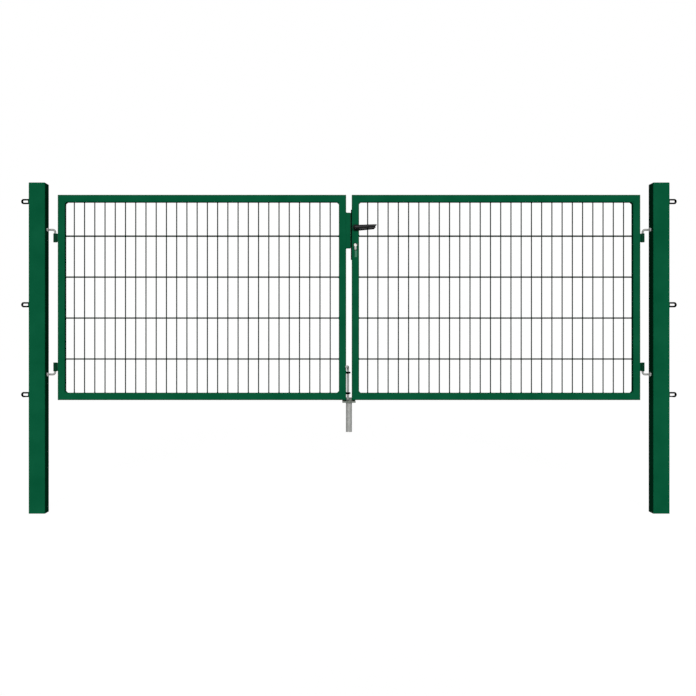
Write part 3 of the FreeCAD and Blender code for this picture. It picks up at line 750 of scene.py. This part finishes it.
def wire_mesh(side):
    """Round wires from frame to frame, with a spot of weld where they cross."""
    low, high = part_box(side + "_mesh")
    middle = (low + high) / 2
    columns = evenly(middle.x, UPRIGHTS, UPRIGHT_PITCH)
    shells = []
    for x in columns:
        shells += wire((x, 0, low.z), (x, 0, high.z), UPRIGHT_RADIUS)
    for z in evenly(middle.z, LEVELS, LEVEL_PITCH):
        for y in (-LEVEL_OFFSET, LEVEL_OFFSET):
            shells += wire((low.x, y, z), (high.x, y, z), LEVEL_RADIUS)
            shells += [nugget((x, y * CROSSING_SHARE, z), CROSSING_SIZES) for x in columns]
    # The wires take the darker green copy of the coat, which paints shade on them.
    piece(side + "_wires", shells, side + "_leaf", "green_coat", (side + "_mesh",), 50, "green_wire_painted_shade")


def inner_fillet(x, z, way_x, way_z):
    """Flat fill of weld metal in the inner corner of a frame."""
    outline = [(x, z), (x + way_x * FILLET_LEG, z), (x, z + way_z * FILLET_LEG)]
    if way_x * way_z < 0:
        outline.reverse()
    depth = TUBE / 2 - FILLET_SET_BACK
    return slab(outline, -depth, depth, FILLET_BEVEL, front_place)


def frame_welds(side):
    """Fillets in the four inner corners and ground seams on the mitres."""
    low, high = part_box(side + "_mesh")
    depth = TUBE / 2 - SEAM_DEPTH
    shells = []
    for x, way_x in ((low.x, 1), (high.x, -1)):
        for z, way_z in ((low.z, 1), (high.z, -1)):
            shells.append(inner_fillet(x, z, way_x, way_z))
            outer = (x - way_x * (TUBE - SEAM_START), z - way_z * (TUBE - SEAM_START))
            inner = (x - way_x * SEAM_END, z - way_z * SEAM_END)
            for y in (-depth, depth):
                start = (outer[0], y, outer[1])
                end = (inner[0], y, inner[1])
                shells.append(weld_bead(start, end, SEAM_RADIUS, SEAM_PITCH, SEAM_SIDES))
    piece(side + "_frame_welds", shells, side + "_leaf", "green_coat")


# Posts

def loop_bar(face, outward, straight, z):
    """Bar of one U loop, a little thicker round its bend."""
    half = LOOP_SPACING / 2
    turn = Vector((face + outward * straight, 0, z))
    bend = arc(turn, turn + Vector((0, 0, half)), (0, outward, 0), 180, LOOP_STEPS)
    swell = [LOOP_SWELL * math.sin(math.pi * step / LOOP_STEPS) for step in range(LOOP_STEPS + 1)]
    bend = [point - Vector((outward * extra, 0, 0)) for point, extra in zip(bend, swell)]
    path = [Vector((face, 0, z + half))] + bend + [Vector((face, 0, z - half))]
    radii = [LOOP_RADIUS] + [LOOP_RADIUS + extra for extra in swell] + [LOOP_RADIUS]
    return tube(path, radii)


def post_loops(side, outward):
    """Three U loops of round bar, each with a cross bar near the post that it is welded to."""
    low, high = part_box("fence_loops_" + side)
    face = high.x if outward < 0 else low.x
    half = LOOP_SPACING / 2
    straight = high.x - low.x - half - LOOP_RADIUS
    cross_x = face + outward * LOOP_CROSS
    weld_x = face + outward * LOOP_WELD_PLACE
    bars = []
    for z in (low.z + half + LOOP_RADIUS, LOOP_MIDDLE, high.z - half - LOOP_RADIUS):
        bars.append(loop_bar(face, outward, straight, z))
        bars.append(tube([(cross_x, 0, z + half), (cross_x, 0, z - half)], [LOOP_RADIUS] * 2))
        for end in (z + half, z - half):
            bars.append(weld_ring((weld_x, 0, end), (1, 0, 0), LOOP_RADIUS, LOOP_WELD, LOOP_WELD_RIPPLES))
    piece("loops_" + side, bars, "root", "black_coat", ("fence_loops_" + side,))


def hex_nut(centre, axis, across_flats, thickness, bore):
    """Nut with a washer face, chamfered corners and a chamfered hole."""
    apothem = across_flats / 2
    across, up = frame_along(axis)
    axis = Vector(axis).normalized()
    centre = Vector(centre)

    def hex_radius(number):
        angle = (2 * math.pi * number / NUT_SIDES) % (math.pi / 3) - math.pi / 6
        return apothem / math.cos(angle)

    def level(along, reach, drop=0.0, way=1):
        points = []
        for number in range(NUT_SIDES):
            angle = 2 * math.pi * number / NUT_SIDES
            radius = reach(number)
            lower = drop * max(0.0, hex_radius(number) - apothem) / (apothem * HEX_EXCESS)
            place = centre + axis * (along - way * lower)
            points.append(place + across * (radius * math.cos(angle)) + up * (radius * math.sin(angle)))
        return points

    corner_drop = across_flats * NUT_CHAMFER
    rings = [
        level(0, lambda number: bore),
        level(0, lambda number: across_flats * NUT_FACE),
        level(NUT_WASHER, lambda number: across_flats * NUT_COLLAR),
        level(NUT_WASHER, hex_radius, corner_drop, -1),
        level(thickness, hex_radius, corner_drop, 1),
        level(thickness, lambda number: across_flats * NUT_FACE),
        level(thickness, lambda number: bore + NUT_WASHER),
        level(thickness - NUT_WASHER, lambda number: bore),
    ]
    return rings_to_shell(rings, closed_ends=False)


def threaded(start, heading, length, radius):
    """Stretch of thread, drawn as close grooves."""
    turns = max(1, round(length / THREAD_PITCH))
    profile = []
    for number in range(turns):
        at = number * THREAD_PITCH
        profile += [
            (at, radius - THREAD_DEPTH),
            (at + THREAD_PITCH * CREST_START, radius),
            (at + THREAD_PITCH * CREST_END, radius),
        ]
    profile.append((turns * THREAD_PITCH, radius - THREAD_DEPTH))
    return lathe(profile, start, heading, HOOK_SIDES)


def bent_hook(thread_end, axis_x, height, pin_end, inward, down):
    """Plain stretch of a hook, from its thread through the bend to the foot of its pin."""
    bend_centre = Vector((axis_x - inward * HOOK_BEND, 0, height + down * HOOK_BEND))
    bend_start = bend_centre - Vector((0, 0, down * HOOK_BEND))
    path = [
        Vector((thread_end - inward * HOOK_CHAMFER, 0, height)),
        Vector((thread_end + inward * HOOK_CHAMFER, 0, height)),
    ]
    path += arc(bend_centre, bend_start, (0, -inward * down, 0), 90, BEND_STEPS)
    path += [Vector((axis_x, 0, pin_end - down * HOOK_CHAMFER)), Vector((axis_x, 0, pin_end))]
    radii = [HOOK_RADIUS - THREAD_ROOT] + [HOOK_RADIUS] * (len(path) - 2) + [HOOK_RADIUS - HOOK_CHAMFER]
    return tube(path, radii, HOOK_SIDES)


def hinge_hardware(side, inward):
    """Threaded hooks with their nuts, on both hinges of a post."""
    low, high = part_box("hinge_hooks_" + side)
    start_x = low.x if inward > 0 else high.x
    axis_x = (high.x if inward > 0 else low.x) - inward * HOOK_RADIUS
    along = (inward, 0, 0)
    hooks = []
    nuts = []
    nut_nodes = []
    for level, height, down in (
        ("upper", high.z - HOOK_RADIUS, -1),
        ("lower", low.z + HOOK_RADIUS, 1),
    ):
        nut_node = "hook_nut_" + side + "_" + level
        nut_nodes.append(nut_node)
        nut_low, nut_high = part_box(nut_node)
        face = nut_low.x if inward > 0 else nut_high.x
        depth = nut_high.x - nut_low.x
        across_flats = nut_high.y - nut_low.y
        nuts.append(hex_nut((face, 0, height), along, across_flats, depth, HOOK_RADIUS - NUT_BITE))
        thread_end = face + inward * (depth + THREAD_PAST_NUT)
        hooks.append(threaded((start_x, 0, height), along, abs(thread_end - start_x), HOOK_RADIUS))
        sleeve_low, sleeve_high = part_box("hinge_sleeve_" + side + "_" + level)
        pin_end = sleeve_low.z + PIN_STOP if down < 0 else sleeve_high.z - PIN_STOP
        hooks.append(bent_hook(thread_end, axis_x, height, pin_end, inward, down))
    piece("hooks_" + side, hooks, "root", "galvanised_steel", ("hinge_hooks_" + side,))
    piece("nuts_" + side, nuts, "root", "galvanised_steel", nut_nodes, sharp=25)


def sleeve(node, body, inward):
    """Turned sleeve on a lug that is welded to the stile."""
    low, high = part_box(node)
    length = high.z - low.z
    stile = high.x if inward > 0 else low.x
    axis_x = (low.x if inward > 0 else high.x) + inward * SLEEVE_RADIUS
    profile = [
        (0, SLEEVE_BORE),
        (0, SLEEVE_RADIUS - SLEEVE_RIM),
        (SLEEVE_RIM, SLEEVE_RADIUS),
        (length - SLEEVE_RIM, SLEEVE_RADIUS),
        (length, SLEEVE_RADIUS - SLEEVE_RIM),
        (length, SLEEVE_BORE),
    ]
    barrel = hollow_lathe(profile, (axis_x, 0, low.z), (0, 0, 1), SLEEVE_SIDES)
    start = axis_x + inward * LUG_START
    middle = ((start + stile) / 2, (low.z + high.z) / 2)
    outline = rounded_box(abs(stile - start), length - LUG_SHORTER, LUG_CORNER, middle)
    lug = slab(outline, -LUG_THICK / 2, LUG_THICK / 2, LUG_BEVEL, front_place)
    # Barrel and lug take the darker green copy of the coat, which paints shade on them.
    piece(node + "_barrel", [barrel, lug], body, "green_coat", (node,), 30, "green_painted_shade")
    bottom = low.z + LUG_WELD_SET_BACK
    top = high.z - LUG_WELD_SET_BACK
    beads = []
    for y in (-LUG_WELD_OFFSET, LUG_WELD_OFFSET):
        beads.append(weld_bead((stile, y, bottom), (stile, y, top), LUG_WELD))
    for z in (bottom, top):
        beads.append(weld_bead((stile, -LUG_THICK / 2, z), (stile, LUG_THICK / 2, z), LUG_WELD_END))
    piece(node + "_weld", beads, body, "green_coat")


# Lock

def keyhole_outline(margin, steps=16):
    """Anticlockwise outline of the profile cylinder, grown by a margin, in X and Z."""
    big = CYLINDER_RADIUS + margin
    small = CYLINDER_WEB + margin
    foot = CYLINDER_RADIUS - CYLINDER_TALL + CYLINDER_WEB
    join = math.atan2(-math.sqrt(big * big - small * small), small)
    points = []
    for step in range(2 * steps + 1):
        angle = join + (math.pi - 2 * join) * step / (2 * steps)
        points.append((LOCK_MIDDLE + big * math.cos(angle), CYLINDER_HEIGHT + big * math.sin(angle)))
    for step in range(steps + 1):
        angle = math.pi + math.pi * step / steps
        height = CYLINDER_HEIGHT + foot + small * math.sin(angle)
        points.append((LOCK_MIDDLE + small * math.cos(angle), height))
    return points


def in_key_slot(entry):
    """Whether a face of the core lies in its key slot."""
    middle = entry.calc_center_median()
    if abs(middle.x) >= KEY_SLOT_HALF_WIDTH or abs(middle.z) >= KEY_SLOT_HALF_HEIGHT:
        return False
    return all(corner.co.length < CORE_RADIUS * KEY_SLOT_SHARE for corner in entry.verts)


def key_face(way):
    """Turning core with a notched key slot, on one end of the cylinder."""
    low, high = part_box("lock_cylinder")
    face = high.y if way > 0 else low.y
    turns = [2 * math.pi * number / CORE_SIDES for number in range(CORE_SIDES)]
    circle = [(CORE_RADIUS * math.cos(turn), CORE_RADIUS * math.sin(turn)) for turn in turns]
    shape = bmesh.new()
    loops = []
    for outline in (circle, KEY_SLOT):
        corners = [shape.verts.new((x, 0, z)) for x, z in outline]
        loops.append([shape.edges.new(pair) for pair in zip(corners, corners[1:] + corners[:1])])
    rim, slot = loops
    bmesh.ops.triangle_fill(shape, use_beauty=True, use_dissolve=False, edges=rim + slot)
    hole = [entry for entry in shape.faces if in_key_slot(entry)]
    bmesh.ops.delete(shape, geom=hole, context="FACES_ONLY")
    for edges, depth in ((slot, KEY_SLOT_DEPTH), (rim, CORE_RIM)):
        walls = bmesh.ops.extrude_edge_only(shape, edges=edges)
        moved = [item for item in walls["geom"] if isinstance(item, bmesh.types.BMVert)]
        bmesh.ops.translate(shape, verts=moved, vec=Vector((0, -way * depth, 0)))
    shape.verts.index_update()
    offset = Vector((LOCK_MIDDLE, face - way * CORE_SET_BACK, CYLINDER_HEIGHT))
    points = [vertex.co + offset for vertex in shape.verts]
    faces = [tuple(vertex.index for vertex in entry.verts) for entry in shape.faces]
    shape.free()
    return points, faces


def lock_body():
    """Profile cylinder with its two cores, in a black seal rim that paints the shade of the gap round it.
    """
    low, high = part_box("lock_cylinder")
    body = slab(keyhole_outline(0), low.y + BODY_SET_BACK, high.y - BODY_SET_BACK, BODY_BEVEL, front_place)
    piece("cylinder_body", [body], "right_leaf", "nickel", ("lock_cylinder",), sharp=30)
    piece("cylinder_cores", [key_face(-1), key_face(1)], "right_leaf", "nickel", sharp=30)
    # The black rims round both ends stand in for the shade in the gap between cylinder and stile.
    shade_rims = []
    for way in (-1, 1):
        face = way * TUBE / 2
        rings = []
        for margin, rise in SHADE_RIM_RINGS:
            rings.append([front_place(point, face + way * rise) for point in keyhole_outline(margin)])
        shade_rims.append(rings_to_shell(rings, closed_ends=False))
    piece("cylinder_shade_rims", shade_rims, "right_leaf", "black_plastic", sharp=60)


def cylinder_strips():
    """Raised strip under the cylinder, where its screwed cover ends, on both sides, in a lighter green
    that paints a highlight.
    """
    middle = (LOCK_MIDDLE + STRIP_OFFSET, STRIP_MIDDLE)
    outline = rounded_box(STRIP_WIDTH, STRIP_HEIGHT, STRIP_CORNER, middle)
    shells = []
    for way in (-1, 1):
        near = way * TUBE / 2
        ends = sorted((near - way * STRIP_ROOT, near + way * STRIP_PROUD))
        shells.append(slab(outline, ends[0], ends[1], STRIP_BEVEL, front_place))
    # The strip takes the lighter green copy of the coat, a painted highlight.
    piece("cylinder_tongues", shells, "right_leaf", "green_coat", finish="green_painted_highlight")


def screw_head(centre, axis, radius):
    """Countersunk head with a round recess."""
    profile = [
        (-0.0012, radius * 0.55), (0, radius), (0.0002, radius * 0.98), (0.0003, radius * 0.6),
        (0.0003, radius * 0.34), (-0.0007, radius * 0.2), (-0.0007, 0.0001),
    ]
    return lathe(profile, centre, axis, SCREW_SIDES)


def forend():
    """Black plate on the stile's edge, with the faces of the latch and the bolt and two screws."""
    low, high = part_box("lock_forend")
    face = low.x - FOREND_EXTRA
    middle = (low.z + high.z) / 2
    outline = rounded_box(high.y - low.y, high.z - low.z, FOREND_CORNER, (0, middle))
    plate = slab(outline, face, high.x, FOREND_BEVEL, edge_place)
    piece("forend_plate", [plate], "right_leaf", "black_coat", ("lock_forend",))
    faces = []
    for bottom, tall in (LATCH, DEAD_BOLT):
        outline = rounded_box(TONGUE_WIDTH, tall - TONGUE_GAP, TONGUE_CORNER, (0, bottom + tall / 2))
        faces.append(slab(outline, face - TONGUE_PROUD, face + TONGUE_ROOT, TONGUE_BEVEL, edge_place))
    piece("lock_faces", faces, "right_leaf", "nickel")
    heights = (low.z + SCREW_FROM_END, high.z - SCREW_FROM_END)
    screws = [screw_head((face + SCREW_SUNK, 0, z), (-1, 0, 0), SCREW_RADIUS) for z in heights]
    piece("forend_screws", screws, "right_leaf", "galvanised_steel")


def keep_details():
    """Weld beads that hold the keep, and the lips before and behind its pockets."""
    low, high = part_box("lock_keep")
    beads = []
    for z in (low.z, high.z):
        beads.append(weld_bead((low.x, -KEEP_WELD_HALF, z), (low.x, KEEP_WELD_HALF, z), KEEP_WELD))
    for y in (low.y + KEEP_SEAM / 2, high.y - KEEP_SEAM / 2):
        start = (low.x, y, low.z + KEEP_SEAM_PITCH)
        end = (low.x, y, high.z - KEEP_SEAM_PITCH)
        beads.append(weld_bead(start, end, KEEP_SEAM, KEEP_SEAM_PITCH, SEAM_SIDES))
    piece("keep_welds", beads, "left_leaf", "green_coat")
    lips = []
    for y in (-KEEP_LIP_PLACE, KEEP_LIP_PLACE):
        middle = (y, (low.z + high.z) / 2)
        outline = rounded_box(KEEP_LIP_WIDTH, high.z - low.z, KEEP_LIP_CORNER, middle)
        ends = (high.x - KEEP_LIP_ROOT, high.x + KEEP_LIP_REACH)
        lips.append(slab(outline, ends[0], ends[1], KEEP_LIP_BEVEL, edge_place))
    # The lips take the darker green copy of the coat, which paints shade in the gap at the lock.
    piece("keep_lips", lips, "left_leaf", "green_coat", finish="green_painted_shade")


def grip_section(x):
    """Half height, middle and half thickness of the grip at a place along it; its root is round."""
    if x < 0:
        half = math.sqrt(max(GRIP_ROOT * GRIP_ROOT - x * x, GRIP_LEAST * GRIP_LEAST))
        thin = 1 - GRIP_ROOT_THIN
        fat = GRIP_THICK / 2 * min(1.0, thin + GRIP_ROOT_THIN * half / GRIP_ROOT)
        return half, 0.0, fat * min(1.0, half / (GRIP_ROOT * GRIP_ROOT_THIN))
    along = x / GRIP_REACH
    top = GRIP_ROOT + GRIP_TOP_RISE * along
    bottom = -GRIP_ROOT + GRIP_BOTTOM_RISE * along
    return (top - bottom) / 2, (top + bottom) / 2, GRIP_THICK / 2


def squared(value):
    """A sine or cosine pushed outwards, which makes an oval flatter on its sides."""
    return math.copysign(abs(value) ** GRIP_POWER, value)


def grip(node, way):
    """Lever grip, lofted from a round root to a slanted tip."""
    low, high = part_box(node)
    outer = high.y if way > 0 else low.y
    middle_y = outer - way * GRIP_THICK / 2
    turns = [math.pi / 2 * step / GRIP_ROOT_STEPS for step in range(GRIP_ROOT_STEPS)]
    stations = [(-GRIP_ROOT * math.cos(turn), 1.0) for turn in turns]
    stations += [(step * GRIP_STEP, 1.0) for step in range(GRIP_STEPS)]
    rings = []
    for x, share in stations + GRIP_TIP:
        half, centre, fat = grip_section(x)
        lean = GRIP_LEAN * min(1.0, max(0.0, (x - GRIP_LEAN_START) / GRIP_LEAN_LENGTH))
        points = []
        for number in range(GRIP_SIDES):
            angle = 2 * math.pi * number / GRIP_SIDES
            across = squared(math.cos(angle))
            up = squared(math.sin(angle))
            place_x = LOCK_MIDDLE + x + lean * up
            place_z = LEVER_HEIGHT + centre + half * share * up
            points.append(Vector((place_x, middle_y + fat * share * across, place_z)))
        rings.append(points)
    return rings_to_shell(rings)


def levers():
    """Grips with their turned necks and grub screws."""
    for name, way in (("front", -1), ("back", 1)):
        node = "lever_" + name
        low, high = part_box(node)
        inner = low.y if way > 0 else high.y
        length = high.y - low.y
        neck_profile = [
            (0, 0.0074), (0.0006, 0.008), (length - 0.026, 0.008), (length - 0.018, 0.0083),
            (length - 0.012, 0.0092), (length - 0.006, 0.0092),
        ]
        neck = lathe(neck_profile, (LOCK_MIDDLE, inner, LEVER_HEIGHT), (0, way, 0))
        piece("lever_grip_" + name, [grip(node, way), neck], "lever", "black_plastic", (node,), sharp=50)
        screw_profile = [(-0.001, 0.0019), (0.0001, 0.0019), (0.0002, 0.0012), (-0.0009, 0.0008)]
        screw_place = (LOCK_MIDDLE, inner + way * GRUB_PLACE, LEVER_HEIGHT - GRUB_DROP)
        screw = lathe(screw_profile, screw_place, (0, 0, -1), GRUB_SIDES)
        piece("lever_screw_" + name, [screw], "lever", "galvanised_steel")


def rosettes():
    """Green base plates, painted a darker green as shade, with a black cover disc in the middle."""
    for name, way in (("front", -1), ("back", 1)):
        node = "rosette_" + name
        low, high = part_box(node)
        base = low.y if way > 0 else high.y
        radius = (high.z - low.z) / 2
        plate = [
            (0, ROSETTE_BORE), (0, radius), (0.0022, radius), (0.003, radius - 0.0003),
            (0.0042, radius - 0.0012), (0.005, radius - 0.003), (0.0053, radius - 0.005),
            (0.0053, ROSETTE_BORE),
        ]
        cover = [
            (0.004, ROSETTE_BORE), (0.004, 0.0128), (0.0062, 0.0128), (0.0072, 0.0124),
            (0.0078, 0.0115), (0.008, 0.0104), (0.0077, 0.0098), (0.0077, 0.0092),
            (0.008, 0.0088), (0.008, ROSETTE_BORE),
        ]
        centre = (LOCK_MIDDLE, base, LEVER_HEIGHT)
        disc = hollow_lathe(cover, centre, (0, way, 0), ROSETTE_SIDES)
        piece("rosette_cover_" + name, [disc], "right_leaf", "black_plastic", (node,), sharp=35)
        base_ring = hollow_lathe(plate, centre, (0, way, 0), ROSETTE_SIDES)
        # The base plate takes the darker green copy of the coat, which paints shade round the lever.
        piece("rosette_plate_" + name, [base_ring], "right_leaf", "green_coat", (), 35, "green_painted_shade")


# Drop bolt and ground piece

def drop_bolt():
    """Round rod with a bullet foot and a bent handle with a chamfered end."""
    low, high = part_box("drop_bolt_rod")
    turn = math.radians(BOLT_TURN)
    away = Vector((-math.sin(turn), -math.cos(turn), 0))
    top = high.z - BOLT_RADIUS
    bend_start = Vector((BOLT_X, 0, top - BOLT_BEND))
    bend_centre = bend_start + away * BOLT_BEND
    path = [Vector((BOLT_X, 0, low.z + height)) for height, radius in BOLT_FOOT]
    radii = [radius for height, radius in BOLT_FOOT]
    path.append(bend_start - Vector((0, 0, BEND_LEAD)))
    across = Vector((0, 0, 1)).cross(away)
    path += arc(bend_centre, bend_start, across, 90, BEND_STEPS)
    end = Vector((BOLT_X, 0, top)) + away * BOLT_HANDLE
    path += [end - away * BOLT_CHAMFER, end]
    radii += [BOLT_RADIUS] * (len(path) - len(radii) - 1) + [BOLT_RADIUS - BOLT_CHAMFER]
    piece("bolt", [tube(path, radii, BOLT_SIDES)], "drop_bolt", "galvanised_steel", ("drop_bolt_rod",))


def eye_reach(centre, heading, low_x, curve_x, half):
    """How far a guide's outline lies from the bolt: straight sides and back, and a round front."""
    reach = FAR
    if abs(heading.y) > SQUARE:
        step = half / abs(heading.y)
        if low_x <= centre.x + step * heading.x <= curve_x:
            reach = min(reach, step)
    if heading.x < -SQUARE:
        step = (low_x - centre.x) / heading.x
        if abs(step * heading.y) <= half:
            reach = min(reach, step)
    if reach == FAR:
        shift = centre.x - curve_x
        along = shift * heading.x
        reach = -along + math.sqrt(along * along - shift * shift + half * half)
    return reach


def guide_eye(name):
    """Eye for the drop bolt, round in front, with weld at the stile."""
    low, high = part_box(name)
    centre = Vector((BOLT_X, 0))
    half = (high.y - low.y) / 2
    headings = []
    for number in range(EYE_SIDES):
        angle = 2 * math.pi * number / EYE_SIDES
        headings.append(Vector((math.cos(angle), math.sin(angle))))
    curve_x = high.x - half
    outer = [centre + heading * eye_reach(centre, heading, low.x, curve_x, half) for heading in headings]
    inner = [centre + heading * EYE_BORE for heading in headings]
    levels = [(low.z, EYE_BEVEL), (low.z + EYE_EDGE, EYE_EDGE), (low.z + EYE_BEVEL, 0)]
    levels += [(high.z - EYE_BEVEL, 0), (high.z - EYE_EDGE, EYE_EDGE), (high.z, EYE_BEVEL)]
    rings = []
    for z, shrink in levels:
        row = []
        for point in outer:
            at_stile = point.x <= low.x + EYE_AT_STILE
            moved = point if at_stile else point - (point - centre).normalized() * shrink
            row.append(Vector((moved.x, moved.y, z)))
        rings.append(row)
    for z in (high.z, low.z):
        rings.append([Vector((point.x, point.y, z)) for point in inner])
    shells = [rings_to_loop(rings)]
    weld_y = half - EYE_WELD_SET_BACK
    for z in (low.z, high.z):
        shells.append(weld_bead((low.x, -weld_y, z), (low.x, weld_y, z), EYE_WELD))
    piece(name + "_eye", shells, "left_leaf", "black_coat", (name,), sharp=35)


def ground_welds():
    """Weld ring under the plate and bead along the foot of its lip."""
    low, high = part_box("ground_socket")
    plate_low, plate_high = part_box("ground_stop_plate")
    radius = (high.x - low.x) / 2
    place = (GROUND_MIDDLE, 0, high.z - SOCKET_WELD_DROP)
    shells = [weld_ring(place, (0, 0, 1), radius, SOCKET_WELD, SOCKET_WELD_RIPPLES)]
    lip = plate_high.y - LIP_THICK
    top = plate_low.z + PLATE_THICK
    start = (plate_low.x + LIP_WELD, lip, top)
    end = (plate_high.x - LIP_WELD, lip, top)
    shells.append(weld_bead(start, end, LIP_WELD))
    # The welds take the darker zinc copy, painted shade.
    piece("ground_welds", shells, "root", "galvanised_steel", finish="zinc_painted_shade")


white_world()
sun("key", KEY_STRENGTH, 0, KEY_ELEVATION)
sun("back_fill", BACK_STRENGTH, 180, BACK_ELEVATION, mirrored=False)
side_lamp("left_side", cad_box[0][0], -1)
side_lamp("right_side", cad_box[1][0], 1)
floor()
camera()
dress_frame()
for side, outward in (("left", -1), ("right", 1)):
    wire_mesh(side)
    frame_welds(side)
    post_loops(side, outward)
    hinge_hardware(side, -outward)
    for level in ("upper", "lower"):
        sleeve("hinge_sleeve_" + side + "_" + level, side + "_leaf", -outward)
lock_body()
cylinder_strips()
forend()
keep_details()
levers()
rosettes()
drop_bolt()
guide_eye("bolt_guide_upper")
guide_eye("bolt_guide_lower")
ground_welds()
bpy.context.scene.view_settings.view_transform = "Standard"
